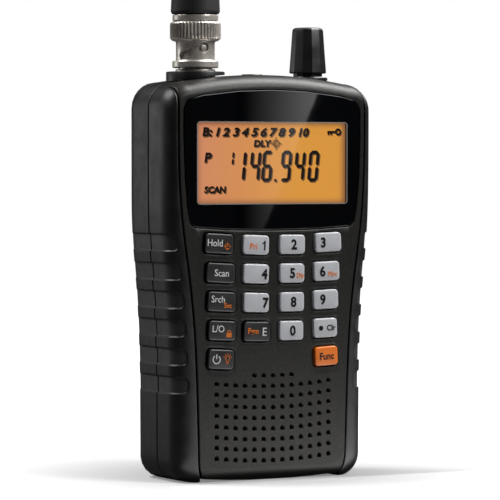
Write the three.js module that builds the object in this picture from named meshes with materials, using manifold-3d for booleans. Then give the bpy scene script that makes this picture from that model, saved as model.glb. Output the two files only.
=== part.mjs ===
// Handheld scanner receiver. Millimetres, +Z up, front faces -Y, origin at the middle of the base.
import * as THREE from "three";
import Module from "manifold-3d";

const wasm = await Module();
wasm.setup();
const { Manifold, CrossSection } = wasm;

// ---------- driving sizes ----------
const FRONT = -16; // front face
const BACK = 16; // rear face
const PART = -3.5; // plane where front and rear halves meet
const TOP = 115.5; // crest of the arched top
const ARCH = 0.0034; // drop of the top per mm squared of half-width
const GAP = 0.3; // clearance between neighbouring pieces
const WALL = 1.9; // housing wall
const SHOULDER = 7.5; // radius of the top corners seen from the front
const HEEL = 6.5; // radius of the bottom corners seen from the front
const ANTENNA = { x: -16.9, y: -0.5 };
const KNOB = { x: 20, y: -0.5 };

// half-width of the whole body by height: wide at the display, waisted below
const FLANK = [
  [0, 30.7], [14, 30.8], [28, 30.85], [42, 31.2], [51, 31.7], [59, 32.3],
  [65, 32.9], [71, 33.3], [78, 33.5], [116, 33.5],
];
// half-width of the charcoal panel by height, at the middle of its groove
const SEAM = [
  [0, 22.2], [1.2, 22.7], [3.5, 23.5], [6, 23.8], [12.5, 23.95], [21, 24.2], [30, 24.5],
  [38, 24.85], [47, 25.5], [56, 26.5], [65, 27.8], [72.5, 28.9], [80, 29.6], [88, 30.05],
  [98, 30.2], [118, 30.2],
];

function along(table, z) {
  if (z <= table[0][0]) return table[0][1];
  for (let i = 1; i < table.length; i++) {
    const [z0, w0] = table[i - 1];
    const [z1, w1] = table[i];
    if (z <= z1) return w0 + ((w1 - w0) * (z - z0)) / (z1 - z0);
  }
  return table[table.length - 1][1];
}

// ---------- solid helpers ----------
const box = (x0, x1, y0, y1, z0, z1) =>
  Manifold.cube([x1 - x0, y1 - y0, z1 - z0]).translate([x0, y0, z0]);
const slab = (w, y0, y1, z0, z1) => box(-w, w, y0, y1, z0, z1);
const rodZ = (x, y, z0, z1, r, r2 = r, n = 24) =>
  Manifold.cylinder(z1 - z0, r, r2, n).translate([x, y, z0]);
const rodY = (x, z, y0, y1, r, r2 = r, n = 20) =>
  Manifold.cylinder(y1 - y0, r, r2, n).rotate([-90, 0, 0]).translate([x, y0, z]);
const rodX = (y, z, x0, x1, r, n = 16) =>
  Manifold.cylinder(x1 - x0, r, r, n).rotate([0, 90, 0]).translate([x0, y, z]);
const join = (...list) => Manifold.union(list);
const mirrored = (solid) => solid.mirror([1, 0, 0]);

// an outline in x and z, given anticlockwise as seen from the front, made solid from y0 to y1
function plate(points, y0, y1) {
  return new CrossSection([points]).extrude(y1 - y0).rotate([90, 0, 0]).translate([0, y1, 0]);
}

// an outline in y and z, made solid from x0 to x1
function web(points, x0, x1) {
  const flat = new CrossSection([points]).extrude(x1 - x0);
  return flat.rotate([90, 0, 90]).translate([x0, 0, 0]);
}

function roundedRect(w, h, r, steps = 3) {
  const points = [];
  const corners = [[1, 1, 0], [-1, 1, 90], [-1, -1, 180], [1, -1, 270]];
  for (const [sx, sz, start] of corners)
    for (let i = 0; i <= steps; i++) {
      const a = ((start + (90 * i) / steps) * Math.PI) / 180;
      points.push([sx * (w / 2 - r) + r * Math.cos(a), sz * (h / 2 - r) + r * Math.sin(a)]);
    }
  return points;
}

// rings of equal length joined into one closed body, capped at both ends
function loft(rings) {
  const n = rings[0].length;
  const verts = rings.flat(2);
  const tris = [];
  for (let k = 0; k < rings.length - 1; k++)
    for (let i = 0; i < n; i++) {
      const a = k * n + i;
      const b = k * n + ((i + 1) % n);
      tris.push(a, a + n, b + n, a, b + n, b);
    }
  const cap = (k, flip) => {
    const flat = rings[k].map(([x, , z]) => new THREE.Vector2(x, z));
    for (const [a, b, c] of THREE.ShapeUtils.triangulateShape(flat, [])) {
      const f = [k * n + a, k * n + b, k * n + c];
      tris.push(...(flip ? f.reverse() : f));
    }
  };
  cap(0, false);
  cap(rings.length - 1, true);
  const mesh = new wasm.Mesh({
    numProp: 3,
    vertProperties: new Float32Array(verts),
    triVerts: new Uint32Array(tris),
  });
  return new Manifold(mesh);
}

// ---------- body envelope ----------
// how far the outline draws in at depth y, for an edge rounded by an ellipse
function drawIn(y, front, back) {
  let t = 0;
  if (y < FRONT + front[1]) t = [(FRONT + front[1] - y) / front[1], front[0]];
  else if (y > BACK - back[1]) t = [(y - BACK + back[1]) / back[1], back[0]];
  else return 0;
  return t[1] * (1 - Math.sqrt(Math.max(0, 1 - t[0] * t[0])));
}

function ring(y, inset, coarse = false) {
  // the front corner runs from the panel's groove round to the flank, so it is wider lower down
  const sideAt = (z) => drawIn(y, [along(FLANK, z) - along(SEAM, z), 6], [13, 11]) + inset;
  const side = sideAt(TOP);
  const crown = drawIn(y, [4, 6.5], [6.5, 6]) + inset;
  const round = Math.max(4, SHOULDER - Math.min(side, crown));
  const sole = drawIn(y, [4, 3], [5, 5]) + inset;
  const right = [];
  const wide = (z) => along(FLANK, z) - sideAt(z);
  const low = wide(HEEL);
  const high = wide(TOP - SHOULDER);
  const crest = (x) => TOP - crown - ARCH * x * x;
  const shoulder = crest(high - round) - round;
  right.push([(low - HEEL) / 2, sole], [low - HEEL, sole]);
  for (const a of coarse ? [45, 90] : [30, 60, 90]) {
    const r = (a * Math.PI) / 180;
    right.push([low - HEEL + HEEL * Math.sin(r), sole + HEEL - HEEL * Math.cos(r)]);
  }
  for (const z of coarse ? [42, 60, 78] : [28, 42, 51, 59, 66, 78]) right.push([wide(z), z]);
  for (const a of coarse ? [0, 45] : [0, 30, 60]) {
    const r = (a * Math.PI) / 180;
    right.push([high - round + round * Math.cos(r), shoulder + round * Math.sin(r)]);
  }
  for (const x of [28, 18, 9]) {
    const at = (x / 28) * (high - round);
    right.push([at, crest(at)]);
  }
  const left = right.map(([x, z]) => [-x, z]).reverse();
  return [[0, sole], ...right, [0, crest(0)], ...left].map(([x, z]) => [x, y, z]);
}

function envelope() {
  return loft([-16, -15.7, -14.9, -13.6, -12, -10, 5, 9, 12, 14.4, 15.6, 16].map((y) => ring(y, 0)));
}

// the hollow of the rear half
function rearRoom() {
  const depths = [-8, 5, 10, 13];
  return loft([...depths.map((y) => ring(y, WALL, true)), ring(14.4, WALL, true)]);
}

// outline of the charcoal panel, drawn in by `inset`; its lower edge lifts towards both ends
function panelOutline(inset) {
  const right = [];
  const foot = (x) => inset * 0.9 - 1 + (x > 6.5 ? 1 + 0.0022 * (x * x - 42) : 0);
  for (const x of [6.5, 13, 20]) right.push([x, foot(x) + (x > 6.5 ? 0 : 0.9)]);
  for (const [z, w] of SEAM) if (z >= 1.2) right.push([w - inset, z < 3 ? z + inset : z]);
  const left = right.map(([x, z]) => [-x, z]).reverse();
  return [...right, ...left];
}

const hull = envelope();
const front = hull.intersect(slab(40, FRONT - 1, PART - GAP / 2, -1, 120));
const rear = hull.intersect(slab(40, PART + GAP / 2, BACK + 1, -1, 120));

// ---------- finger recesses on both flanks ----------
const RECESS_Z = [67.95, 59.75, 51.75, 43.75, 35.7, 27.75];
const RECESS = { height: 5.1, depth: 0.45 };

function recessCutters() {
  return RECESS_Z.map((z, i) => {
    const inner = along(FLANK, z) - RECESS.depth;
    const frontEnd = along(SEAM, z) + [1.5, 1.7, 1.9, 2.1, 2.1, 2.1][i];
    const h = RECESS.height / 2;
    // outside of a slightly smaller body, between two heights
    const profile = [
      [frontEnd, -17], [40, -17], [40, 14], [inner - 5, 14], [inner - 2.2, 11],
      [inner - 0.5, 7], [inner, 3], [inner, -9.5], [inner - 0.8, -12.6], [frontEnd, -14.6],
    ];
    return new CrossSection([profile]).extrude(2 * h).translate([0, 0, z - h]);
  });
}
const recesses = join(...recessCutters());
const bothFlanks = (solid) => solid.subtract(recesses).subtract(mirrored(recesses));

// ---------- keys ----------
// place, width and clockwise tilt of each key: columns spread, narrow downwards and fan out a little
const KEYS = {
  key_hold: [-17.7, 67.6, 9.1, 3.5], key_1: [-5.9, 67.1, 8.4, 2.5],
  key_2: [5.9, 67.1, 8.3, 0.5], key_3: [17.7, 67.6, 8.6, -2.2],
  key_scan: [-17.2, 59.3, 9.2, 3.5], key_4: [-5.85, 58.9, 8.3, 2.5],
  key_5: [5.85, 58.9, 8.0, 0.5], key_6: [17.2, 59.3, 8.4, -2.0],
  key_srch: [-16.9, 51.2, 9.1, 3.2], key_7: [-5.8, 50.7, 8.2, 2.2],
  key_8: [5.8, 50.7, 7.9, 0.5], key_9: [16.9, 51.2, 8.2, -2.2],
  key_lo: [-16.75, 43.0, 8.8, 3.0], key_pgm: [-5.6, 42.5, 8.5, 1.5],
  key_0: [5.6, 42.5, 7.8, 0.5], key_clear: [16.75, 43.0, 7.8, -1.8],
  key_power: [-17.1, 34.9, 8.3, 3.5], key_func: [17.1, 34.9, 7.5, -2.8],
};
const KEY = { h: 5.5, r: 1.1, face: -16.9, back: -12.9, lip: 0.45, lipFront: -13.5 };

const keyPlan = (w, h, r) => roundedRect(w, h, r, 2);

function keySolid([x, z, w, tilt]) {
  const crown = plate(keyPlan(w - 0.7, KEY.h - 0.7, KEY.r - 0.3), KEY.face, KEY.face + 0.1);
  const rim = plate(keyPlan(w, KEY.h, KEY.r), KEY.face + 0.4, KEY.face + 0.6);
  const stem = plate(keyPlan(w, KEY.h, KEY.r), KEY.face + 0.4, KEY.back);
  const lip = slab(w / 2 + KEY.lip, KEY.lipFront, KEY.back, -KEY.h / 2 - KEY.lip, KEY.h / 2 + KEY.lip);
  return join(Manifold.hull([crown, rim]), stem, lip).rotate([0, tilt, 0]).translate([x, 0, z]);
}
const keyOpening = ([x, z, w, tilt]) =>
  plate(keyPlan(w + 0.7, KEY.h + 0.7, KEY.r + 0.35), -17, -13.7)
    .rotate([0, tilt, 0])
    .translate([x, 0, z]);

// ---------- speaker grille ----------
const HOLE = { r: 0.78, pitch: 3.03, lastRow: 5.6, sag: 0.0034 };
function grilleHoles() {
  const holes = [];
  for (let row = 0; row < 9; row++) {
    const half = row === 8 ? 2 : 6;
    for (let c = -half; c <= half; c++) {
      const x = c * HOLE.pitch;
      const z = HOLE.lastRow + row * HOLE.pitch + HOLE.sag * x * x;
      holes.push(rodY(x, z, -17, -13.5, HOLE.r, HOLE.r, 6));
    }
  }
  return join(...holes);
}

// ---------- front half ----------
const LENS = [
  [-28.3, 105.5], [-28.35, 98], [-27.9, 86], [-27.2, 78], [-26.4, 73.6], [-25, 72.3],
  [-14, 71.6], [0, 71.35], [14, 71.6], [25, 72.3], [26.4, 73.6], [27.2, 78], [27.9, 86],
  [28.35, 98], [28.3, 105.5], [27, 108.2], [22.5, 109.4], [11, 110.7], [0, 111.1],
  [-11, 110.7], [-22.5, 109.4], [-27, 108.2],
];
function lensPlate(by, y0, y1) {
  const outline = new CrossSection([LENS]).offset(by, "Miter");
  return outline.extrude(y1 - y0).rotate([90, 0, 0]).translate([0, y1, 0]);
}

const CASE_SCREWS = { nw: [-27.6, 109], ne: [27.6, 109], sw: [-21.2, 8], se: [21.2, 8] };

// holes in the crown for the antenna jack, the control bush and the earphone jack
function crownSockets() {
  return join(
    rodZ(ANTENNA.x, ANTENNA.y, 100, 120, 5.1, 5.1, 20),
    rodZ(ANTENNA.x, ANTENNA.y, 113.9, 120, 6.05, 6.05, 20),
    rodZ(KNOB.x, KNOB.y, 100, 120, 3.8, 3.8, 16),
    rodZ(KNOB.x, KNOB.y, 113.9, 120, 6.1, 6.1, 20),
    rodZ(JACK35.x, JACK35.y, 100, 120, 3.4, 3.4, 16),
  );
}

function frontCover() {
  const shell = front.intersect(plate(panelOutline(0.2), -17, PART));
  const room = new CrossSection([panelOutline(0.2 + WALL)])
    .extrude(12)
    .rotate([90, 0, 0])
    .translate([0, -1.8, 0])
    .intersect(slab(40, -20, 0, 2, 110.9));
  let made = shell.subtract(room);
  for (const [x, z] of Object.values(CASE_SCREWS))
    made = join(made, rodY(x, z, -14, PART - GAP / 2, 2, 2, 12));
  made = made.intersect(front.intersect(plate(panelOutline(0.2), -17, PART)));
  for (const [x, z] of Object.values(CASE_SCREWS))
    made = made.subtract(rodY(x, z, -11, 0, 1.4, 1.4, 8));
  made = made.subtract(lensPlate(0.3, -17, -14.6));
  made = made.subtract(slab(25.1, -17, -13, 77.9, 102.8)).subtract(crownSockets());
  for (const at of Object.values(KEYS)) made = made.subtract(keyOpening(at));
  return made.subtract(grilleHoles());
}

function frontGrip() {
  const outer = front.intersect(box(0, 40, -20, 0, -1, 120));
  const toe = box(-1, 20.4, -20, 0, -1, 4);
  const panel = plate(panelOutline(-0.2), -20, 0);
  const made = outer.subtract(panel).subtract(toe).subtract(recesses);
  return largest(made);
}

function largest(solid) {
  return solid.decompose().reduce((a, b) => (a.volume() > b.volume() ? a : b));
}

// ---------- rear half ----------
const BAY = { w: 15.4, z0: 7, z1: 66, floor: -0.6, wall: 1.2 };
const DOOR = { w: 16.6, flange: 17.5, z0: 6, z1: 68, y0: 14.3, lipTop: 15.1 };
const CLIP_SCREWS = { a: [-7, 102.5], b: [7, 102.5] };
const PORT = { y0: 0.6, y1: 7.2, z0: 86, z1: 98 };
const JACK35 = { x: 1.5, y: -0.5 };

function rearCover() {
  const room = rearRoom().intersect(slab(40, -20, 14, 2, 111));
  let made = bothFlanks(rear).subtract(room);
  const tray = slab(BAY.w + BAY.wall, BAY.floor - BAY.wall, 15.4, BAY.z0 - BAY.wall, BAY.z1 + BAY.wall);
  made = join(made, tray);
  for (const [x, z] of Object.values(CASE_SCREWS))
    made = join(made, rodY(x, z, PART + GAP / 2, 14, 2.6, 2.6, 12).intersect(hull));
  for (const [x, z] of Object.values(CLIP_SCREWS))
    made = join(made, rodY(x, z, 9, 15, 2.6, 2.6, 12));
  made = made.subtract(slab(BAY.w, BAY.floor, 20, BAY.z0, BAY.z1));
  made = made.subtract(slab(DOOR.flange + 0.4, 14, 15.4, -1, DOOR.z1 + 0.4));
  made = made.subtract(slab(DOOR.w + 0.4, 14, 20, -1, DOOR.z1 + 0.4));
  for (const [x, z] of Object.values(CASE_SCREWS)) {
    made = made.subtract(rodY(x, z, -6, 12, 1.5, 1.5, 8));
    made = made.subtract(rodY(x, z, 10, 20, 2.4, 2.4, 12));
  }
  for (const [x, z] of Object.values(CLIP_SCREWS))
    made = made.subtract(rodY(x, z, 10, 20, 1.35, 1.35, 12));
  made = made.subtract(crownSockets());
  // socket for the data jack and the seat of its cover
  made = made.subtract(box(28, 40, PORT.y0 + 0.8, PORT.y1 - 0.8, PORT.z0 + 1.6, PORT.z1 - 1.6));
  made = made.subtract(box(32.2, 40, PORT.y0 - 1.2, PORT.y1 + 1.2, PORT.z0 - 1.4, PORT.z1 + 1.4));
  return largest(made);
}

function portCover() {
  const seat = box(32.5, 40, PORT.y0 - 0.9, PORT.y1 + 0.9, PORT.z0 - 1.1, PORT.z1 + 1.1);
  return hull.intersect(seat);
}

function usbJack() {
  const shell = box(26, 31.9, PORT.y0 + 1.1, PORT.y1 - 1.1, PORT.z0 + 1.9, PORT.z1 - 1.9);
  return shell.subtract(box(27, 40, PORT.y0 + 1.7, PORT.y1 - 1.7, PORT.z0 + 2.6, PORT.z1 - 2.6));
}

function batteryDoor() {
  const face = hull.intersect(slab(DOOR.w, DOOR.y0, 20, DOOR.z0, DOOR.z1));
  const flange = slab(DOOR.flange, DOOR.y0, DOOR.lipTop, DOOR.z0, DOOR.z1);
  const grip = [0, 1, 2, 3].map((i) => slab(6, 15.7, 20, 12 + 2.2 * i, 12.9 + 2.2 * i));
  return join(face, flange).subtract(join(...grip));
}

// ---------- battery bay contents ----------
const CELL = { r: 7.1, x: 7.6, y: 6.8, z0: 9.6, length: 49.6, nub: 1.0 };
function cell(side, upright) {
  const x = side * CELL.x;
  const z1 = CELL.z0 + CELL.length;
  const can = rodZ(x, CELL.y, CELL.z0, z1, CELL.r, CELL.r, 20);
  const nub = upright
    ? rodZ(x, CELL.y, z1 - 0.1, z1 + CELL.nub, 2.7, 2.7, 12)
    : rodZ(x, CELL.y, CELL.z0 - CELL.nub, CELL.z0 + 0.1, 2.7, 2.7, 12);
  return join(can, nub);
}
const lowerContact = () => slab(14.2, 2, 13, 7.3, 8.2);
function upperContact(side) {
  return box(side > 0 ? 1.6 : -14.2, side > 0 ? 14.2 : -1.6, 2, 13, 60.6, 61.4);
}
function typeSwitch() {
  return join(slab(1.4, 9, 12.4, 63.2, 65), slab(3.2, 6.6, 9.1, 62.4, 65.6));
}

// ---------- belt clip ----------
const PIN = { y: 21.6, z: 92, r: 1.0 };
function clipBase() {
  const pad = slab(11, 16.3, 18.3, 76, 106);
  const ear = (s) =>
    web([[16.6, 87], [22, 88.6], [23.4, 90.4], [23.4, 93.4], [22, 95.2], [16.6, 97.5]], s > 0 ? 8.6 : -11, s > 0 ? 11 : -8.6);
  let made = join(pad, ear(1), ear(-1));
  made = made.subtract(rodX(PIN.y, PIN.z, -20, 20, PIN.r + 0.3));
  for (const [x, z] of Object.values(CLIP_SCREWS)) {
    made = made.subtract(rodY(x, z, 10, 20, 1.5, 1.5, 12));
    made = made.subtract(rodY(x, z, 17.2, 20, 2.6, 2.6, 12));
  }
  return made;
}
function clipLever() {
  const side = [
    [23.2, 101], [24.8, 101.4], [25.2, 99], [24.2, 92], [24.2, 60], [23.4, 50],
    [21.6, 46.6], [20.2, 47.4], [19.6, 50], [21.0, 51.4], [22.2, 60], [22.2, 87.6],
    [20.4, 90.6], [20.4, 93.6], [22.4, 96],
  ];
  const tongue = web(side.reverse(), -8.2, 8.2);
  const bore = rodX(PIN.y, PIN.z, -20, 20, PIN.r + 0.3);
  const pocket = box(-4.6, 4.6, 18, 23.9, 89, 95);
  return tongue.subtract(bore).subtract(pocket);
}
const clipPin = () => rodX(PIN.y, PIN.z, -10.7, 10.7, PIN.r);
function clipSpring() {
  const coil = rodX(PIN.y, PIN.z, -4, 4, 1.8, 16).subtract(rodX(PIN.y, PIN.z, -5, 5, 1.35, 16));
  return coil;
}
const clipScrew = ([x, z]) =>
  join(rodY(x, z, 10.6, 17.5, 1.1, 1.1, 10), rodY(x, z, 17.5, 18.8, 2.2, 1.9, 12));
const caseScrew = ([x, z]) =>
  join(rodY(x, z, -10.4, 10.4, 1.2, 1.2, 10), rodY(x, z, 10.3, 11.8, 2.1, 1.9, 12));

// ---------- top ----------
// round, flat-topped seat of the antenna on the arched crown
const SEAT = { r: 8.4, top: 116.4 };

function topPlate() {
  const above = hull.translate([0, 0, GAP]);
  const made = rodZ(ANTENNA.x, ANTENNA.y, 111, SEAT.top, SEAT.r, SEAT.r, 48).subtract(above);
  return largest(made.subtract(rodZ(ANTENNA.x, ANTENNA.y, 100, 125, 6, 6, 24)));
}

function antennaJack() {
  const bore = rodZ(ANTENNA.x, ANTENNA.y, 112, 130, 4.1, 4.1, 20);
  let made = join(
    rodZ(ANTENNA.x, ANTENNA.y, 104, 117.1, 4.8, 4.8, 24),
    rodZ(ANTENNA.x, ANTENNA.y, 114.2, 117.1, 5.7, 5.7, 24),
    rodZ(ANTENNA.x, ANTENNA.y, 117, 126.2, 4.8, 4.8, 24),
  ).subtract(bore);
  const stud = rodY(0, 0, -5.35, 5.35, 0.95, 0.95, 12).translate([ANTENNA.x, ANTENNA.y, STUD_Z]);
  made = join(made, stud.subtract(bore));
  return join(made, rodZ(ANTENNA.x, ANTENNA.y, 111.9, 119, 1.2, 1.2, 12).subtract(rodZ(ANTENNA.x, ANTENNA.y, 113.5, 130, 0.7, 0.7, 8)));
}

// The sleeve turns as it lifts: each slot climbs from the detent at the stud to the lead-out.
const STUD_Z = 123.2;
const SLOT_TURN = 70; // degrees turned while the plug lifts
const SLOT_LIFT = 2.2; // mm lifted over that turn
function slotCutter() {
  const steps = 4;
  const holes = [];
  for (let i = 0; i <= steps; i++) {
    const t = i / steps;
    holes.push(
      rodY(0, 0, -8, -4, 1.3, 1.3, 8)
        .rotate([0, 0, -SLOT_TURN * t])
        .translate([0, 0, STUD_Z - SLOT_LIFT * t]),
    );
  }
  const runs = [];
  for (let i = 0; i < steps; i++) runs.push(Manifold.hull([holes[i], holes[i + 1]]));
  const detent = rodY(0, 0, -8, -4, 1.5, 1.5, 14).translate([0, 0, STUD_Z]);
  return join(...runs, detent);
}

function couplingSleeve() {
  const knurl = [];
  for (let i = 0; i < 24; i++) {
    const a0 = (i * Math.PI) / 12;
    knurl.push([7.25 * Math.cos(a0), 7.25 * Math.sin(a0)]);
    knurl.push([6.8 * Math.cos(a0 + Math.PI / 24), 6.8 * Math.sin(a0 + Math.PI / 24)]);
  }
  const grip = new CrossSection([knurl]).extrude(4.6).translate([0, 0, 125.7]);
  let made = join(
    Manifold.cylinder(2.0, 6.6, 6.6, 24).translate([0, 0, 117.5]),
    Manifold.cylinder(6.5, 5.55, 5.55, 24).translate([0, 0, 119.4]),
    Manifold.cylinder(0.5, 6.5, 6.9, 24).translate([0, 0, 125.2]),
    grip,
    Manifold.cylinder(0.5, 6.9, 6.5, 24).translate([0, 0, 130.2]),
  );
  made = made.subtract(Manifold.cylinder(20, 5.05, 5.05, 24).translate([0, 0, 110]));
  made = made.subtract(Manifold.cylinder(20, 4.6, 4.6, 24).translate([0, 0, 120]));
  const slots = join(slotCutter(), slotCutter().rotate([0, 0, 180]));
  return made.subtract(slots).translate([ANTENNA.x, ANTENNA.y, 0]);
}

function plugBody() {
  return join(
    rodZ(ANTENNA.x, ANTENNA.y, 130.9, 132.6, 6.55, 6.55, 24),
    rodZ(ANTENNA.x, ANTENNA.y, 127.2, 131, 4.3, 4.3, 20),
    rodZ(ANTENNA.x, ANTENNA.y, 120, 128, 3.8, 3.8, 20),
  ).subtract(rodZ(ANTENNA.x, ANTENNA.y, 110, 125, 1.6, 1.6, 12));
}

function antennaWhip() {
  return join(
    rodZ(ANTENNA.x, ANTENNA.y, 132.9, 143, 7, 6.6, 24),
    rodZ(ANTENNA.x, ANTENNA.y, 142.9, 150, 6.6, 4.9, 24),
    rodZ(ANTENNA.x, ANTENNA.y, 149.9, 262, 4.9, 3.9, 20),
    rodZ(ANTENNA.x, ANTENNA.y, 261.9, 264.5, 3.9, 2.6, 20),
  );
}

// ---------- knob ----------
function volumeKnob() {
  const grip = Manifold.cylinder(13, 5.55, 4.6, 12).rotate([0, 0, 15]).translate([KNOB.x, KNOB.y, 116.3]);
  const crown = Manifold.cylinder(0.5, 4.6, 4.1, 12).rotate([0, 0, 15]).translate([KNOB.x, KNOB.y, 129.25]);
  const collar = rodZ(KNOB.x, KNOB.y, 115.5, 116.4, 4.35, 4.35, 24);
  return join(grip, crown, collar).subtract(rodZ(KNOB.x, KNOB.y, 110, 126, 2.2, 2.2, 16));
}
const volumeShaft = () => rodZ(KNOB.x, KNOB.y, 105, 125.6, 1.9, 1.9, 16);
function squelchRing() {
  const disc = rodZ(KNOB.x, KNOB.y, 114.3, 115.2, 5.75, 5.75, 28);
  const tube = rodZ(KNOB.x, KNOB.y, 107, 114.4, 3.4, 3.4, 20);
  return join(disc, tube).subtract(rodZ(KNOB.x, KNOB.y, 100, 120, 2.2, 2.2, 16));
}
function controlBody() {
  const can = rodZ(KNOB.x, KNOB.y, 98, 106.2, 5.6, 5.6, 16);
  return can.subtract(rodZ(KNOB.x, KNOB.y, 104.6, 110, 2.2, 2.2, 16));
}
function earphoneJack() {
  const barrel = rodZ(JACK35.x, JACK35.y, 101.5, 115.9, 3.1, 3.1, 20);
  return barrel.subtract(rodZ(JACK35.x, JACK35.y, 103, 120, 1.8, 1.8, 16));
}

// ---------- display and electronics ----------
function lcdFrame() {
  const outer = slab(26.6, -13.5, -9.3, 75.8, 104.6);
  const pocket = slab(25.6, -12.9, -9, 76.8, 103.6);
  const window = slab(24.4, -14, -12, 78.6, 102);
  return outer.subtract(pocket).subtract(window);
}
const lcdGlass = () => slab(25.3, -12.6, -11.2, 77.1, 103.3);
const lcdBacklight = () => slab(25.3, -10.9, -9.4, 77.1, 103.3);
const lens = () => lensPlate(0, -15.95, -14.9);
function keypadMat() {
  const sheet = plate(
    [[-21.2, 31.2], [21.2, 31.2], [21.6, 46], [23, 60], [24.4, 71.4], [-24.4, 71.4], [-23, 60], [-21.6, 46]],
    -12.1, -11.1,
  );
  return sheet;
}
function speaker() {
  return join(
    rodY(0, 16.9, -13, -11.6, 13.4, 13.4, 32),
    rodY(0, 16.9, -11.7, -9.9, 12.6, 8, 32),
    rodY(0, 16.9, -10, -9.1, 7.5, 7.5, 24),
  ).subtract(rodY(0, 16.9, -14, -11.9, 12, 5, 24));
}
const speakerCloth = () => slab(18.9, -13.65, -13.35, 3.4, 31.3);
function mainBoard() {
  return plate(
    [[-16.6, 5], [16.6, 5], [16.6, 30], [22, 32], [22, 80], [24, 84], [24, 102.6], [-24, 102.6], [-24, 84], [-22, 80], [-22, 32], [-16.6, 30]],
    -8.6, -7.0,
  );
}
const shieldCan = () => box(-20, 8, -6.7, -2.6, 71, 98);

// ---------- assembly ----------
const COLOURS = { black: 0x1d1d1f, panel: 0x55524f, grey: 0xb9bbbd, metal: 0xc9c3b4, amber: 0xe0903c, green: 0x2f6b46 };
const root = new THREE.Group();
root.name = "scanner_receiver";

function add(name, solid, colour) {
  const { vertProperties, triVerts, numProp } = solid.getMesh();
  const position = new Float32Array((vertProperties.length / numProp) * 3);
  for (let i = 0; i < position.length / 3; i++)
    position.set(vertProperties.subarray(i * numProp, i * numProp + 3), i * 3);
  const geometry = new THREE.BufferGeometry();
  geometry.setAttribute("position", new THREE.BufferAttribute(position, 3));
  geometry.setIndex(new THREE.BufferAttribute(new Uint32Array(triVerts), 1));
  geometry.computeVertexNormals();
  const mesh = new THREE.Mesh(geometry, new THREE.MeshStandardMaterial({ color: COLOURS[colour] }));
  mesh.name = name;
  root.add(mesh);
}

const grip = frontGrip();
add("front_cover", frontCover(), "panel");
add("right_front_grip", grip, "black");
add("left_front_grip", mirrored(grip), "black");
add("rear_cover", rearCover(), "black");
add("top_plate", topPlate(), "black");
add("display_lens", lens(), "black");
add("lcd_frame", lcdFrame(), "grey");
add("lcd_glass", lcdGlass(), "amber");
add("lcd_backlight", lcdBacklight(), "amber");
for (const [name, at] of Object.entries(KEYS)) add(name, keySolid(at), "grey");
add("keypad_mat", keypadMat(), "black");
add("speaker_cloth", speakerCloth(), "black");
add("speaker", speaker(), "black");
add("main_board", mainBoard(), "green");
add("shield_can", shieldCan(), "metal");
add("control_body", controlBody(), "metal");
add("volume_shaft", volumeShaft(), "metal");
add("volume_knob", volumeKnob(), "black");
add("squelch_ring", squelchRing(), "black");
add("earphone_jack", earphoneJack(), "black");
add("antenna_jack", antennaJack(), "metal");
add("coupling_sleeve", couplingSleeve(), "metal");
add("plug_body", plugBody(), "metal");
add("antenna_whip", antennaWhip(), "black");
add("usb_jack", usbJack(), "metal");
add("port_cover", portCover(), "black");
add("battery_door", batteryDoor(), "black");
add("battery_cell_a", cell(-1, true), "grey");
add("battery_cell_b", cell(1, false), "grey");
add("battery_contact_lower", lowerContact(), "metal");
add("battery_contact_left", upperContact(-1), "metal");
add("battery_contact_right", upperContact(1), "metal");
add("battery_type_switch", typeSwitch(), "grey");
add("clip_base", clipBase(), "black");
add("clip_lever", clipLever(), "black");
add("clip_pin", clipPin(), "metal");
add("clip_spring", clipSpring(), "metal");
add("clip_screw_left", clipScrew(CLIP_SCREWS.a), "metal");
add("clip_screw_right", clipScrew(CLIP_SCREWS.b), "metal");
for (const [name, at] of Object.entries(CASE_SCREWS)) add("case_screw_" + name, caseScrew(at), "metal");

export default root;
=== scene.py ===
"""Handheld scanner receiver: the looks of every piece, built round the packed frame."""
import math

import bmesh
import bpy
import numpy as np
from bpy.props import FloatProperty, FloatVectorProperty, IntProperty, PointerProperty
from mathutils import Matrix, Vector


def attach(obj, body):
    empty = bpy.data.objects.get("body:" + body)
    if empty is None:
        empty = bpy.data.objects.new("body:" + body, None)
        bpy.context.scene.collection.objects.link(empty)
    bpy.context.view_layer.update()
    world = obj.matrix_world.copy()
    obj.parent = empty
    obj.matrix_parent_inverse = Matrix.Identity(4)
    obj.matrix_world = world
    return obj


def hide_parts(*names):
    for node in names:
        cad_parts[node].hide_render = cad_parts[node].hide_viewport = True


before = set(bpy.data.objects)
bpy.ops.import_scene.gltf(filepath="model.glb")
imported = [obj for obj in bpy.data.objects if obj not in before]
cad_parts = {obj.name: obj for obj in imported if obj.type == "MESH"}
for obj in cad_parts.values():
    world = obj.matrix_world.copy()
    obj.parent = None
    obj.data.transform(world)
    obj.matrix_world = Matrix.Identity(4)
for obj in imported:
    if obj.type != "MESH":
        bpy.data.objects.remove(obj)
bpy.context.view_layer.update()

bl_info = {
    "name": "Handheld Scanner Receiver",
    "version": (1, 0, 0),
    "blender": (4, 5, 0),
    "location": "3D View > Sidebar > Receiver",
    "description": "Builds a handheld scanner receiver piece by piece round its packed frame",
    "category": "Object",
}

MM = 0.001  # lengths below are in millimetres

# ---------- driving sizes ----------
FRONT = -16.0  # front face
BACK = 16.0  # rear face
PART = -3.5  # plane where the front and rear halves meet
TOP = 115.5  # crest of the arched top
ARCH = 0.0034  # drop of the top per square millimetre of half-width
WALL = 1.9  # housing wall
SHOULDER = 7.5  # top corners seen from the front
HEEL = 6.5  # bottom corners seen from the front
GROOVE = 0.2  # half the groove between the panel and its grips
PART_GAP = 0.15  # half the gap between the front and rear halves
ANTENNA = (-16.9, -0.5)
KNOB = (20.0, -0.5)
EARPHONE = (1.5, -0.5)
SEAT_R, SEAT_TOP = 8.4, 116.4  # round seat of the antenna
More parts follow.
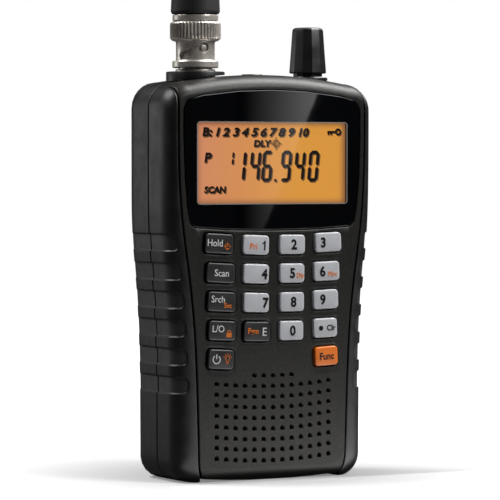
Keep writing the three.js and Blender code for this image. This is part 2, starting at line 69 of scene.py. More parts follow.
# radius of each hole through the top of the housing, and of the lip inside its seam
TOP_HOLES = ((ANTENNA, 6.05), (KNOB, 6.1), (EARPHONE, 3.4))
LIP_HOLES = ((ANTENNA, 6.2), (KNOB, 6.2), (EARPHONE, 3.5))
HOLE_Z = (100, 120)  # heights between which those holes are cut

# half-width of the whole body by height
FLANK_Z = (0, 14, 28, 42, 51, 59, 65, 71, 78, 116)
FLANK_W = (30.7, 30.8, 30.85, 31.2, 31.7, 32.3, 32.9, 33.3, 33.5, 33.5)
# half-width of the charcoal panel by height
SEAM_Z = (0, 1.2, 3.5, 6, 12.5, 21, 30, 38, 47, 56, 65, 72.5, 80, 88, 98, 118)
SEAM_W = (22.2, 22.7, 23.5, 23.8, 23.95, 24.2, 24.5, 24.85, 25.5, 26.5, 27.8, 28.9, 29.6, 30.05,
          30.2, 30.2)
EDGE_SPAN = 7.0  # strip of the panel along each seam that has finely spaced columns

RECESS_Z = (67.95, 59.75, 51.75, 43.75, 35.7, 27.75)
RECESS_START = (1.5, 1.7, 1.9, 2.1, 2.1, 2.1)  # from the groove to the front of each recess
RECESS_H, RECESS_CORNER = 5.1, 2.1

# centre, width and clockwise tilt of each key
KEYS = {
    "hold": (-17.7, 67.6, 9.1, 3.5), "1": (-5.9, 67.1, 8.4, 2.5),
    "2": (5.9, 67.1, 8.3, 0.5), "3": (17.7, 67.6, 8.6, -2.2),
    "scan": (-17.2, 59.3, 9.2, 3.5), "4": (-5.85, 58.9, 8.3, 2.5),
    "5": (5.85, 58.9, 8.0, 0.5), "6": (17.2, 59.3, 8.4, -2.0),
    "srch": (-16.9, 51.2, 9.1, 3.2), "7": (-5.8, 50.7, 8.2, 2.2),
    "8": (5.8, 50.7, 7.9, 0.5), "9": (16.9, 51.2, 8.2, -2.2),
    "lo": (-16.75, 43.0, 8.8, 3.0), "pgm": (-5.6, 42.5, 8.5, 1.5),
    "0": (5.6, 42.5, 7.8, 0.5), "clear": (16.75, 43.0, 7.8, -1.8),
    "power": (-17.1, 34.9, 8.3, 3.5), "func": (17.1, 34.9, 7.5, -2.8),
}
KEY_H, KEY_R = 5.5, 1.1  # height and corner radius of every key
KEY_GAP = 0.7  # how much larger than its key each opening is
KEY_FACE, KEY_BACK, KEY_LIP, KEY_LIP_FRONT = -16.9, -12.9, 0.45, -13.5
BLACK_KEYS = ("hold", "scan", "srch", "lo", "pgm", "power")

LENS = (
    (0, 71.35), (14, 71.6), (25, 72.3), (26.4, 73.6), (27.2, 78), (27.9, 86), (28.35, 98),
    (28.3, 105.5), (27, 108.2), (22.5, 109.4), (11, 110.7), (0, 111.1),
)
LENS_FRONT, LENS_BACK, LENS_SEAT = -15.95, -14.9, -14.6
WINDOW = (24.3, 78.7, 101.95)  # half-width, lower and upper edge of the clear window
CASE_SCREWS = {"nw": (-27.6, 109), "ne": (27.6, 109), "sw": (-21.2, 8), "se": (21.2, 8)}
CLIP_SCREWS = {"left": (-7, 102.5), "right": (7, 102.5)}
BAY = (15.4, 7.0, 66.0, -0.6, 1.2)  # half-width, lower, upper, floor, wall
DOOR_W, DOOR_FLANGE, DOOR_Z0, DOOR_Z1 = 16.6, 17.5, 6.0, 68.0
PORT = (0.6, 7.2, 86.0, 98.0)  # front, rear, lower and upper edge of the port's opening
PIN_Y, PIN_Z, PIN_R = 21.6, 92.0, 1.0  # hinge pin of the belt clip
PIN_BORE = PIN_R + 0.15
STUD_Z = 123.2  # height of the two studs of the antenna jack
SLOT_TURN, SLOT_LIFT = 70.0, 2.2  # how far each slot of the coupling turns and climbs
DISPLAY_Y = -14.86  # face of the lit plate
INK_Y = -14.9  # the dark segments just in front of it
INK_THICK = 0.02  # thickness of printed marks
CAMERA_AT = (-438.73, -812.18, 90.0)
CAMERA_TURN, CAMERA_TIP = 28.44, 1.54  # degrees to the right of straight back, and downwards
SMOOTH = 35.0  # edges sharper than this many degrees stay crisp


# ---------- settings ----------
def length(name, description, default, low, high):
    """A length property, given in millimetres."""
    return FloatProperty(name=name, description=description, default=default * MM,
                         min=low * MM, max=high * MM, unit="LENGTH", precision=5)


def colour(name, description, red, green, blue):
    """A colour property, given as display values from 0 to 255."""
    return FloatVectorProperty(name=name, description=description, subtype="COLOR", size=3,
                               min=0, max=1, default=[tone(c) for c in (red, green, blue)])


def tone(value):
    """A display value from 0 to 255 as linear light."""
    v = value / 255
    return v / 12.92 if v <= 0.04045 else ((v + 0.055) / 1.055) ** 2.4


class CaseSettings(bpy.types.PropertyGroup):
    """Sizes of the housing"""
    recess_depth: length("Recess depth", "How deep the finger recesses are", 0.45, 0.1, 0.8)
    recess_slope: length("Recess slope", "Width of the slope at a recess edge", 0.42, 0.1, 1)
    edge_radius: length("Edge radius", "Radius of the edges along the seams", 0.34, 0.1, 0.6)
    hole_radius: length("Grille hole", "Radius of a speaker hole", 0.55, 0.3, 0.8)
    hole_flare: length("Hole flare", "How far a speaker hole widens at the face", 0.27, 0, 0.4)
    hole_pitch: length("Hole pitch", "Distance between speaker holes", 3.03, 2, 4)


class KeySettings(bpy.types.PropertyGroup):
    """Sizes of the keys"""
    crown: length("Key crown", "How far the middle of a key stands above its edge", 0.1, 0, 0.3)
    edge: length("Key edge", "Radius of the edge of a key", 0.42, 0.1, 0.8)
    numeral: length("Numeral height", "Height of the numerals", 2.75, 1, 5)
    legend: length("Legend height", "Height of the words on the dark keys", 1.98, 1, 4)
    mark: length("Mark height", "Height of the small second legends", 1.4, 0.5, 3)


class CrownSettings(bpy.types.PropertyGroup):
    """Counts on the crown"""
    knob_facets: IntProperty(name="Knob facets", description="Flat sides of the volume knob",
                             default=12, min=6, max=24)
    knurl_teeth: IntProperty(name="Knurl teeth", description="Teeth round the antenna coupling",
                             default=46, min=12, max=90)


class FinishSettings(bpy.types.PropertyGroup):
    """Colours of the finishes"""
    panel: colour("Panel", "Charcoal paint of the front panel", 27, 26, 24)
    grip: colour("Grip", "Black of the grips", 19, 18, 19)
    pad: colour("Finger pads", "Satin black of the finger recesses", 50, 49, 50)
    shell: colour("Shell", "Black of the rear shell", 25, 24, 25)
    lens: colour("Lens", "Gloss black behind the display lens", 5, 6, 8)
    key_grey: colour("Grey keys", "Silver grey of the numeral keys", 198, 199, 203)
    key_black: colour("Black keys", "Black of the function keys", 20, 20, 22)
    key_orange: colour("Orange key", "Orange of the shift key", 250, 122, 12)
    lit_left: colour("Display, left", "Backlight at the left of the display", 200, 124, 84)
    lit_right: colour("Display, right", "Backlight at the right of the display", 209, 139, 26)
    nickel: colour("Nickel", "Plating of the antenna coupling", 222, 215, 206)


class StudioSettings(bpy.types.PropertyGroup):
    """Light and camera"""
    key_power: FloatProperty(name="Front light", description="Power of the light at the front right",
                             default=3.0, min=0, max=60, unit="POWER")
    crown_power: FloatProperty(name="Crown light", description="Power of the light above the front",
                               default=9.0, min=0, max=60, unit="POWER")
    back_power: FloatProperty(name="Back light", description="Power of the light above and behind",
                              default=3.2, min=0, max=60, unit="POWER")
    side_power: FloatProperty(name="Side light", description="Power of the low light behind the left side",
                              default=0.4, min=0, max=20, unit="POWER")
    ambient: FloatProperty(name="Ambient", description="Strength of the even light",
                           default=0.02, min=0, max=2)
    focal: FloatProperty(name="Focal length", description="Focal length of the camera",
                         default=229.95, min=20, max=400, unit="CAMERA")


def settings(group):
    """The values of one group: case, keys, crown, finish or studio."""
    return getattr(bpy.context.scene, f"receiver_{group}")


# ---------- mesh helpers ----------
def body_mesh(name, verts, faces, smooth=SMOOTH, groups=None):
    """A mesh object from millimetre points, with its normals facing out."""
    mesh = bpy.data.meshes.new(name)
    mesh.from_pydata([Vector(v) * MM for v in verts], [], faces)
    if groups is not None:
        mesh.polygons.foreach_set("material_index", groups)
    work = bmesh.new()
    work.from_mesh(mesh)
    bmesh.ops.remove_doubles(work, verts=work.verts, dist=1e-7)
    bmesh.ops.dissolve_degenerate(work, edges=work.edges, dist=1e-8)
    bmesh.ops.recalc_face_normals(work, faces=work.faces)
    work.to_mesh(mesh)
    work.free()
    obj = bpy.data.objects.new(name, mesh)
    bpy.context.scene.collection.objects.link(obj)
    shade(obj, smooth)
    return obj


def shade(obj, smooth):
    """Smooth shading, with edges sharper than some degrees kept crisp."""
    mesh = obj.data
    mesh.polygons.foreach_set("use_smooth", [True] * len(mesh.polygons))
    mesh.set_sharp_from_angle(angle=math.radians(smooth))


def bake(obj):
    """Applies the modifiers of obj to its mesh."""
    bpy.context.view_layer.update()
    graph = bpy.context.evaluated_depsgraph_get()
    made = bpy.data.meshes.new_from_object(obj.evaluated_get(graph))
    obj.modifiers.clear()
    old = obj.data
    obj.data = made
    made.name = obj.name
    bpy.data.meshes.remove(old)
    return obj


def carve(obj, cutter, smooth=SMOOTH, operation="DIFFERENCE"):
    """Cuts one object out of another, or joins it on, and removes it."""
    before = len(obj.data.vertices), len(obj.data.polygons)
    for solver in ("MANIFOLD", "EXACT"):
        mod = obj.modifiers.new("cut", "BOOLEAN")
        mod.operation = operation
        mod.solver = solver
        mod.object = cutter
        bake(obj)
        if (len(obj.data.vertices), len(obj.data.polygons)) != before:
            break
    else:
        raise RuntimeError(f"{obj.name}: nothing was cut by {cutter.name}")
    bpy.data.objects.remove(cutter)
    shade(obj, smooth)
    return obj


def cut(obj, shape, smooth=SMOOTH, operation="DIFFERENCE"):
    """Cuts a (verts, faces) body out of an object, or joins it on."""
    return carve(obj, body_mesh("cutter", *shape), smooth, operation)


def bevel(obj, width, segments, angle):
    """Rounds the edges of obj that are sharper than an angle."""
    mod = obj.modifiers.new("edge", "BEVEL")
    mod.width = width * MM
    mod.segments = segments
    mod.limit_method = "ANGLE"
    mod.angle_limit = math.radians(angle)
    mod.harden_normals = False
    bake(obj)
    shade(obj, SMOOTH)
    return obj


def place(obj, body, material, stands_for=()):
    """Gives a piece its body, its finish, and the nodes that it stands for."""
    if material is not None:
        obj.data.materials.clear()
        for m in material if isinstance(material, (list, tuple)) else [material]:
            obj.data.materials.append(m)
    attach(obj, body)
    if stands_for:
        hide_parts(*stands_for)
    return obj


def strips(rings, closed=True, base=0):
    """Quads between rings of equal length."""
    n = len(rings[0])
    span = n if closed else n - 1
    faces = []
    for k in range(len(rings) - 1):
        for i in range(span):
            a, b = base + k * n + i, base + k * n + (i + 1) % n
            faces.append((a, b, b + n, a + n))
    return faces


def tower(rings, looped=False):
    """Rings joined into one closed body, capped at both ends or joined round into a loop."""
    rings = [list(r) for r in rings]
    verts = [p for r in rings for p in r]
    n = len(rings[0])
    if looped:
        faces = strips(rings + [rings[0]])
        return verts, [tuple(i % len(verts) for i in f) for f in faces]
    faces = strips(rings)
    faces.append(tuple(range(n))[::-1])
    faces.append(tuple(range(len(verts) - n, len(verts))))
    return verts, faces


def circle(radius, count):
    """Points round a circle about the origin."""
    return [(radius * math.cos(2 * math.pi * i / count), radius * math.sin(2 * math.pi * i / count))
            for i in range(count)]


def lathe(profile, centre=(0, 0), count=64, looped=False):
    """A body turned about a vertical axis, from (radius, height) pairs."""
    x0, y0 = centre
    rings = [[(x0 + x, y0 + y, z) for x, y in circle(max(r, 1e-3), count)] for r, z in profile]
    return tower(rings, looped)


def lathe_y(profile, centre, count=32):
    """A body turned about an axis from front to back, from (radius, depth) pairs."""
    x0, z0 = centre
    rings = [[(x0 + x, y, z0 + z) for x, z in circle(max(r, 1e-3), count)] for r, y in profile]
    return tower(rings)


def lathe_x(profile, centre, count=32):
    """A body turned about an axis from side to side, from (radius, x) pairs."""
    y0, z0 = centre
    rings = [[(x, y0 + y, z0 + z) for y, z in circle(max(r, 1e-3), count)] for r, x in profile]
    return tower(rings)


def bore(centre, radius):
    """A round hole down through the top of the housing."""
    return lathe([(radius, z) for z in HOLE_Z], centre, 48)


def eased(points, radius, steps=4, closed=True):
    """A polyline with its corners rounded. A point may carry its own radius as a third value."""
    out = []
    n = len(points)
    for i, p in enumerate(points):
        own = p[2] if len(p) > 2 else radius
        at = np.array(p[:2], float)
        if (not closed and i in (0, n - 1)) or own <= 0:
            out.append(tuple(at))
            continue
        back = np.array(points[i - 1][:2], float) - at
        ahead = np.array(points[(i + 1) % n][:2], float) - at
        lb, la = np.linalg.norm(back), np.linalg.norm(ahead)
        back, ahead = back / lb, ahead / la
        turn = math.acos(max(-1, min(1, float(back @ ahead))))
        if turn > math.pi - 0.02:
            out.append(tuple(at))
            continue
        reach = min(own / math.tan(turn / 2), lb * 0.49, la * 0.49)
        a, c = at + back * reach, at + ahead * reach
        for k in range(steps + 1):
            t = k / steps
            out.append(tuple((1 - t) ** 2 * a + 2 * t * (1 - t) * at + t * t * c))
    return out


def rounded_rect(w, h, r, steps=6):
    """A rectangle about the origin with rounded corners."""
    points = []
    for sx, sz, start in ((1, 1, 0), (-1, 1, 90), (-1, -1, 180), (1, -1, 270)):
        for i in range(steps + 1):
            a = math.radians(start + 90 * i / steps)
            points.append((sx * (w / 2 - r) + r * math.cos(a), sz * (h / 2 - r) + r * math.sin(a)))
    return points


def shifted(points, x, z):
    """Points of a plan moved by x and z."""
    return [(px + x, pz + z) for px, pz in points]


def turned(points, tilt):
    """Points of a plan turned clockwise by some degrees."""
    c, s = math.cos(math.radians(tilt)), math.sin(math.radians(tilt))
    return [(x * c + z * s, z * c - x * s) for x, z in points]


def mirror_outline(half):
    """A closed outline from its right half, given from bottom to top."""
    left = [(-x, z) for x, z in half if x > 1e-6][::-1]
    return list(half) + left


def plate(outline, y0, y1):
    """An outline in x and z made solid between two depths."""
    return tower([[(x, y, z) for x, z in outline] for y in (y0, y1)])


def grow(outline, amount):
    """The outline moved outwards by an amount."""
    n = len(outline)
    area = sum(outline[i - 1][0] * outline[i][1] - outline[i][0] * outline[i - 1][1]
               for i in range(n))
    way = 1 if area > 0 else -1
    out = []
    for i in range(n):
        a, b, c = (np.array(outline[(i + k) % n], float) for k in (-1, 0, 1))
        d1, d2 = b - a, c - b
        n1 = np.array((d1[1], -d1[0])) / max(np.linalg.norm(d1), 1e-9)
        n2 = np.array((d2[1], -d2[0])) / max(np.linalg.norm(d2), 1e-9)
        m = n1 + n2
        m /= max(float(m @ n1), 0.35)
        out.append(tuple(b + way * amount * m))
    return out


def stepped_plate(outline, levels):
    """An outline lofted through (depth, growth) levels."""
    first, last = levels[0], levels[-1]
    levels = [(first[0], first[1] - 0.12), *levels, (last[0], last[1] - 0.12)]
    return tower([[(x, y, z) for x, z in grow(outline, g)] for y, g in levels])


def merged(*parts):
    """Several (verts, faces) bodies as one."""
    verts, faces = [], []
    for part_verts, part_faces in parts:
        base = len(verts)
        verts.extend(part_verts)
        faces.extend(tuple(i + base for i in face) for face in part_faces)
    return verts, faces


def block(x0, x1, y0, y1, z0, z1):
    """A box between two corners."""
    return plate([(x0, z0), (x1, z0), (x1, z1), (x0, z1)], y0, y1)


# ---------- body envelope ----------
def along(zs, ws, z, blur):
    """A half-width table read at a height, smoothed over a short stretch."""
    spread = np.linspace(-blur, blur, 9)
    return float(np.interp(z + spread, zs, ws).mean())


def flank(z):
    """Half-width of the whole body at a height."""
    return along(FLANK_Z, FLANK_W, z, 3.0)


def seam(z):
    """Half-width of the charcoal panel at a height."""
    return along(SEAM_Z, SEAM_W, z, min(3.0, 0.3 + max(z, 0) * 0.15))


def draw_in(y, front, back):
    """How far the outline draws in at depth y, for an edge rounded by an ellipse."""
    if y < FRONT + front[1]:
        t, reach = (FRONT + front[1] - y) / front[1], front[0]
    elif y > BACK - back[1]:
        t, reach = (y - BACK + back[1]) / back[1], back[0]
    else:
        return 0.0
    return reach * (1 - math.sqrt(max(0.0, 1 - t * t)))


def half_width(y, z):
    """Half-width of the body at a depth and a height."""
    return flank(z) - draw_in(y, (flank(z) - seam(z), 6.0), (13.0, 11.0))


def crown_of(y):
    """Crown drop, corner radius and the x of the corner's centre at depth y."""
    crown = draw_in(y, (4.0, 6.5), (6.5, 6.0))
    side = draw_in(y, (flank(TOP) - seam(TOP), 6.0), (13.0, 11.0))
    radius = max(4.0, SHOULDER - min(side, crown))
    return crown, radius, half_width(y, TOP - SHOULDER) - radius


def top_z(x, y):
    """Height of the arched top, with its rounded shoulders."""
    crown, radius, cx = crown_of(y)
    x = abs(x)
    if x <= cx:
        return TOP - crown - ARCH * x * x
    d = min(x - cx, radius)
    return TOP - crown - ARCH * cx * cx - radius + math.sqrt(radius * radius - d * d)


def sole_of(y):
    """Height of the underside at depth y."""
    return draw_in(y, (4.0, 3.0), (5.0, 5.0))


def bottom_z(x, y):
    """Height of the underside, with its rounded heels."""
    cx = half_width(y, HEEL) - HEEL
    x = abs(x)
    if x <= cx:
        return sole_of(y)
    d = min(x - cx, HEEL)
    return sole_of(y) + HEEL - math.sqrt(HEEL * HEEL - d * d)


def section(y):
    """Right half of the outline at depth y, from the bottom centre to the top centre."""
    sole = sole_of(y)
    cx = half_width(y, HEEL) - HEEL
    points = [(cx * k / 8, sole) for k in range(8)]
    for k in range(31):
        a = math.radians(3 * k)
        points.append((cx + HEEL * math.sin(a), sole + HEEL - HEEL * math.cos(a)))
    crown, radius, tx = crown_of(y)
    tz = TOP - crown - ARCH * tx * tx - radius
    low = sole + HEEL
    for k in range(1, 100):
        z = low + (tz - low) * k / 100
        points.append((half_width(y, z), z))
    for k in range(31):
        a = math.radians(3 * k)
        points.append((tx + radius * math.cos(a), tz + radius * math.sin(a)))
    for k in range(1, 9):
        x = tx * (1 - k / 8)
        points.append((x, TOP - crown - ARCH * x * x))
    return np.array(points)


EDGE_STEPS = (0, 0.04, 0.1, 0.18, 0.28, 0.42)


def spaced(total, gap, edge=EDGE_STEPS):
    """Positions along a run, close together at its start and then evenly apart."""
    rest = np.linspace(edge[-1], total, max(2, int(round((total - edge[-1]) / gap)) + 1))[1:]
    return list(edge) + list(rest)


def resample(points, stations):
    """Points of a polyline at shares 0..1 of its length."""
    seg = np.linalg.norm(np.diff(points, axis=0), axis=1)
    run = np.concatenate([[0], np.cumsum(seg)])
    at = np.array(stations) * run[-1]
    return np.stack([np.interp(at, run, points[:, k]) for k in (0, 1)], 1)


def flank_rows():
    """Heights of the rows along the flank, close together at the ends of each recess."""
    rows = {14.0, 16.0, 18.0, 20.0, 22.0, 24.0}
    for z in RECESS_Z:
        for d in np.linspace(0, RECESS_H / 2 - 0.5, 7):
            rows |= {round(z + d, 3), round(z - d, 3)}
        for d in (-0.42, -0.3, -0.18, -0.06, 0.06, 0.25):
            rows |= {round(z + RECESS_H / 2 + d, 3), round(z - RECESS_H / 2 - d, 3)}
    for z in np.linspace(74, 104, 17):
        rows.add(round(float(z), 3))
    rows = sorted(rows)
    kept = [rows[0]]
    for z in rows[1:]:
        if z - kept[-1] > 0.05:
            kept.append(z)
    return kept


def split_section(y, inset=None):
    """The outline at depth y in three runs: round the heel, up the flank, round the shoulder."""
    pts = section(y)
    if inset is not None:
        room = np.array([x - seam(z) - inset for x, z in pts])
        inside = np.nonzero(room >= -1e-3)[0]
        first, last = inside[0], inside[-1]

        def crossing(a, b):
            t = min(1.0, max(0.0, room[a] / (room[a] - room[b])))
            return pts[a] + (pts[b] - pts[a]) * t
        head = [crossing(first - 1, first)] if first > 0 else []
        tail = [crossing(last, last + 1)] if last < len(pts) - 1 else []
        pts = np.array(head + list(pts[first:last + 1]) + tail)
    low = [p for p in pts if p[1] < 14.0] + [(half_width(y, 14.0), 14.0)]
    high = [(half_width(y, 104.0), 104.0)] + [p for p in pts if p[1] > 104.0]
    return np.array(low), np.array(high)


def grid_normals(grid):
    """Unit normals of a grid of points, rows by columns."""
    dr = np.gradient(grid, axis=0)
    dc = np.gradient(grid, axis=1)
    n = np.cross(dr, dc)
    return n / np.maximum(np.linalg.norm(n, axis=2, keepdims=True), 1e-12)


def edge_sink(distance, radius):
    """How far a surface drops near its edge, to round it."""
    d = np.clip(distance, 0, radius)
    return radius - np.sqrt(np.maximum(radius ** 2 - (radius - d) ** 2, 0))


def recess_share(run, z, starts):
    """1 on the floor of a finger recess, 0 outside, with a slope between.

    run is the way along the surface from the groove beside the panel.
    """
    slope = settings("case").recess_slope / MM
    share = np.zeros_like(run)
    corner = RECESS_CORNER
    for zc, start in zip(RECESS_Z, starts):
        qx = corner - (run - start)
        qz = np.abs(z - zc) - (RECESS_H / 2 - corner)
        outside = np.hypot(np.maximum(qx, 0), np.maximum(qz, 0))
        sd = outside + np.minimum(np.maximum(qx, qz), 0) - corner
        t = np.clip(-sd / slope, 0, 1)
        share = np.maximum(share, t * t * (3 - 2 * t))
    return share


def shell_from(outer, inner, loop=False):
    """A wall between two grids of points.

    loop joins the last row to the first, and caps the last column.
    """
    rows, cols = outer.shape[:2]
    verts = [tuple(p) for p in outer.reshape(-1, 3)] + [tuple(p) for p in inner.reshape(-1, 3)]
    base = rows * cols

    def at(r, c, k):
        return k * base + (r % rows) * cols + c
    faces = []
    for r in range(rows if loop else rows - 1):
        for c in range(cols - 1):
            faces.append((at(r, c, 0), at(r, c + 1, 0), at(r + 1, c + 1, 0), at(r + 1, c, 0)))
            faces.append((at(r, c, 1), at(r + 1, c, 1), at(r + 1, c + 1, 1), at(r, c + 1, 1)))
        faces.append((at(r, 0, 0), at(r + 1, 0, 0), at(r + 1, 0, 1), at(r, 0, 1)))
        if not loop:
            c = cols - 1
            faces.append((at(r, c, 0), at(r, c, 1), at(r + 1, c, 1), at(r + 1, c, 0)))
    if loop:
        faces.append(tuple(at(r, cols - 1, 0) for r in range(rows)))
        faces.append(tuple(at(r, cols - 1, 1) for r in range(rows))[::-1])
    else:
        for c in range(cols - 1):
            faces.append((at(0, c, 0), at(0, c, 1), at(0, c + 1, 1), at(0, c + 1, 0)))
            r = rows - 1
            faces.append((at(r, c, 0), at(r, c + 1, 0), at(r, c + 1, 1), at(r, c, 1)))
    return verts, faces


# ---------- node materials ----------
class Finish:
    """A node material under construction."""

    def __init__(self, name):
        self.mat = bpy.data.materials.new(name)
        self.mat.use_nodes = True
        self.tree = self.mat.node_tree
        self.tree.nodes.clear()
        self.out = self.add("ShaderNodeOutputMaterial")
        self.where = self.add("ShaderNodeTexCoord").outputs["Object"]

    def add(self, kind, **values):
        """A node with its properties and inputs set by name."""
        n = self.tree.nodes.new(kind)
        for key, value in values.items():
            if hasattr(n, key):
                setattr(n, key, value)
            else:
                self.put(n.inputs[key.replace("_", " ")], value)
        return n

    def put(self, socket, value):
        """Links another socket to this one, or sets its plain value."""
        if isinstance(value, bpy.types.NodeSocket):
            self.tree.links.new(value, socket)
        else:
            socket.default_value = value

    def noise(self, size, detail=2.0):
        """Noise whose blotches are about this many millimetres wide."""
        n = self.add("ShaderNodeTexNoise", Scale=1 / (size * MM), Detail=detail, Roughness=0.5,
                     Vector=self.where)
        return n.outputs["Fac"]

    def cells(self, size):
        """A random value for each small cell, about this many millimetres wide."""
        v = self.add("ShaderNodeTexVoronoi", Scale=1 / (size * MM), Vector=self.where)
        sep = self.add("ShaderNodeSeparateColor")
        self.put(sep.inputs[0], v.outputs["Color"])
        return sep.outputs[0]

    def remap(self, value, low, high, a=0.0, b=1.0, curve="LINEAR"):
        """A value that runs from low to high where the given one runs from a to b."""
        n = self.add("ShaderNodeMapRange", interpolation_type=curve)
        for key, v in (("Value", value), ("From Min", a), ("From Max", b),
                       ("To Min", low), ("To Max", high)):
            self.put(n.inputs[key], v)
        return n.outputs["Result"]

    def calculate(self, operation, *values):
        """One step of arithmetic on sockets or numbers."""
        n = self.add("ShaderNodeMath", operation=operation)
        for socket, value in zip(n.inputs, values):
            self.put(socket, value)
        return n.outputs[0]

    def blend(self, share, first, second):
        """A colour between two others."""
        n = self.add("ShaderNodeMix", data_type="RGBA")
        self.put(n.inputs[0], share)
        self.put(n.inputs[6], first)
        self.put(n.inputs[7], second)
        return n.outputs[2]

    def bump(self, height, depth, below=None):
        """A relief this many millimetres deep, over another one if it is given."""
        n = self.add("ShaderNodeBump", Strength=1.0, Distance=depth * MM, Height=height)
        if below is not None:
            self.put(n.inputs["Normal"], below)
        return n.outputs["Normal"]

    def surface(self, base, rough, normal=None, **plain):
        """Finishes the material. plain holds the values that are the same all over."""
        n = self.add("ShaderNodeBsdfPrincipled")
        self.put(n.inputs["Base Color"], base)
        self.put(n.inputs["Roughness"], rough)
        if normal is not None:
            self.put(n.inputs["Normal"], normal)
        for key, value in plain.items():
            n.inputs[key.replace("_", " ")].default_value = value
        self.put(self.out.inputs["Surface"], n.outputs[0])
        self.shader = n
        return self.mat

    def layered(self, share, first, second):
        """Finishes the material as one shader shown over another by a share."""
        mix = self.add("ShaderNodeMixShader")
        for socket, value in zip(mix.inputs, (share, first, second)):
            self.put(socket, value)
        self.put(self.out.inputs["Surface"], mix.outputs[0])
        return self.mat


def rgba(c, gain=1.0):
    """A colour with its alpha, made lighter or darker by a gain."""
    return tuple(min(1.0, v * gain) for v in c) + (1.0,)


def moulded(name, base, rough=0.45, grain=0.35, depth=0.012, spread=0.16, specular=0.5):
    """Moulded plastic: a fine even grain, faint flow marks and slightly uneven gloss."""
    f = Finish(name)
    flow = f.noise(14, 3)
    fine = f.noise(grain, 2)
    tint = f.blend(flow, rgba(base, 1 - spread), rgba(base, 1 + spread))
    tint = f.blend(f.remap(fine, 0, 0.35, 0.35, 0.75), tint, rgba(base, 1.5))
    gloss = f.remap(f.noise(3.5, 3), rough - 0.06, rough + 0.08, 0.3, 0.7)
    return f.surface(tint, gloss, f.bump(fine, depth), Specular_IOR_Level=specular)


def sparkle_paint(name, base):
    """Charcoal paint with fine metal flake."""
    f = Finish(name)
    flake = f.remap(f.cells(0.2), 0, 1, 0.78, 1.0)
    tint = f.blend(f.noise(9, 3), rgba(base, 0.9), rgba(base, 1.1))
    tint = f.blend(flake, tint, rgba(base, 3.0))
    gloss = f.remap(f.noise(0.4, 2), 0.34, 0.5, 0.3, 0.7)
    orange_peel = f.bump(f.noise(0.55, 2), 0.006)
    return f.surface(tint, gloss, f.bump(f.cells(0.2), 0.004, below=orange_peel), Metallic=0.2,
                     Specular_IOR_Level=0.32)


def polished_black(name, base):
    """Gloss black lens print, with faint dust and hairline marks."""
    f = Finish(name)
    haze = f.remap(f.noise(0.3, 3), 0.02, 0.05, 0.45, 0.8)
    tint = f.blend(f.noise(20, 2), rgba(base, 0.7), rgba(base, 1.2))
    return f.surface(tint, haze, f.bump(f.noise(6, 1), 0.002), Specular_IOR_Level=0.5)


def plated(name, base, rough=0.2, metal=1.0):
    """Plated metal with fine turning marks and faint tarnish."""
    f = Finish(name)
    stretch = f.add("ShaderNodeMapping", Vector=f.where)
    stretch.inputs["Scale"].default_value = (0.15, 0.15, 1.0)
    turning = f.add("ShaderNodeTexNoise", Scale=9000, Detail=2, Vector=stretch.outputs[0]).outputs["Fac"]
    tarnish = f.noise(2.2, 4)
    tint = f.blend(f.remap(tarnish, 0, 1, 0.3, 0.8), rgba(base, 1.0), rgba(base, 0.8))
    gloss = f.remap(tarnish, rough - 0.05, rough + 0.12, 0.35, 0.75)
    return f.surface(tint, gloss, f.bump(turning, 0.004), Metallic=metal)


def rubber(name, base, rough=0.6):
    """Rubber: matt, with a fine dry grain."""
    f = Finish(name)
    fine = f.noise(0.25, 3)
    tint = f.blend(f.noise(8, 3), rgba(base, 0.85), rgba(base, 1.2))
    return f.surface(tint, f.remap(fine, rough - 0.08, rough + 0.1, 0.3, 0.7), f.bump(fine, 0.015),
                     Specular_IOR_Level=0.4)


def print_and_painted_light(name, base, rough=0.5):
    """Ink, and the painted shadow and painted highlight: slightly uneven cover."""
    f = Finish(name)
    tint = f.blend(f.noise(0.2, 2), rgba(base, 0.9), rgba(base, 1.08))
    return f.surface(tint, f.remap(f.noise(0.5), rough - 0.05, rough + 0.05), f.bump(f.noise(0.1), 0.002),
                     Specular_IOR_Level=0.12)


def woven(name, base):
    """Speaker cloth: two crossing sets of threads."""
    f = Finish(name)
    x = f.add("ShaderNodeTexWave", Scale=900, Vector=f.where, bands_direction="X").outputs["Fac"]
    z = f.add("ShaderNodeTexWave", Scale=900, Vector=f.where, bands_direction="Z").outputs["Fac"]
    weave = f.calculate("MULTIPLY", x, z)
    tint = f.blend(weave, rgba(base, 0.5), rgba(base, 1.5))
    return f.surface(tint, f.remap(weave, 0.95, 0.75), f.bump(weave, 0.03))


def circuit_board(name):
    """Green lacquer with darker tracks."""
    f = Finish(name)
    track = f.add("ShaderNodeTexBrick", Scale=260, Vector=f.where)
    track.inputs["Color1"].default_value = rgba((0.02, 0.12, 0.05))
    track.inputs["Color2"].default_value = rgba((0.015, 0.09, 0.04))
    track.inputs["Mortar"].default_value = rgba((0.03, 0.2, 0.08))
    return f.surface(track.outputs["Color"], f.remap(f.noise(1.5), 0.25, 0.4),
                     f.bump(track.outputs["Fac"], 0.03))


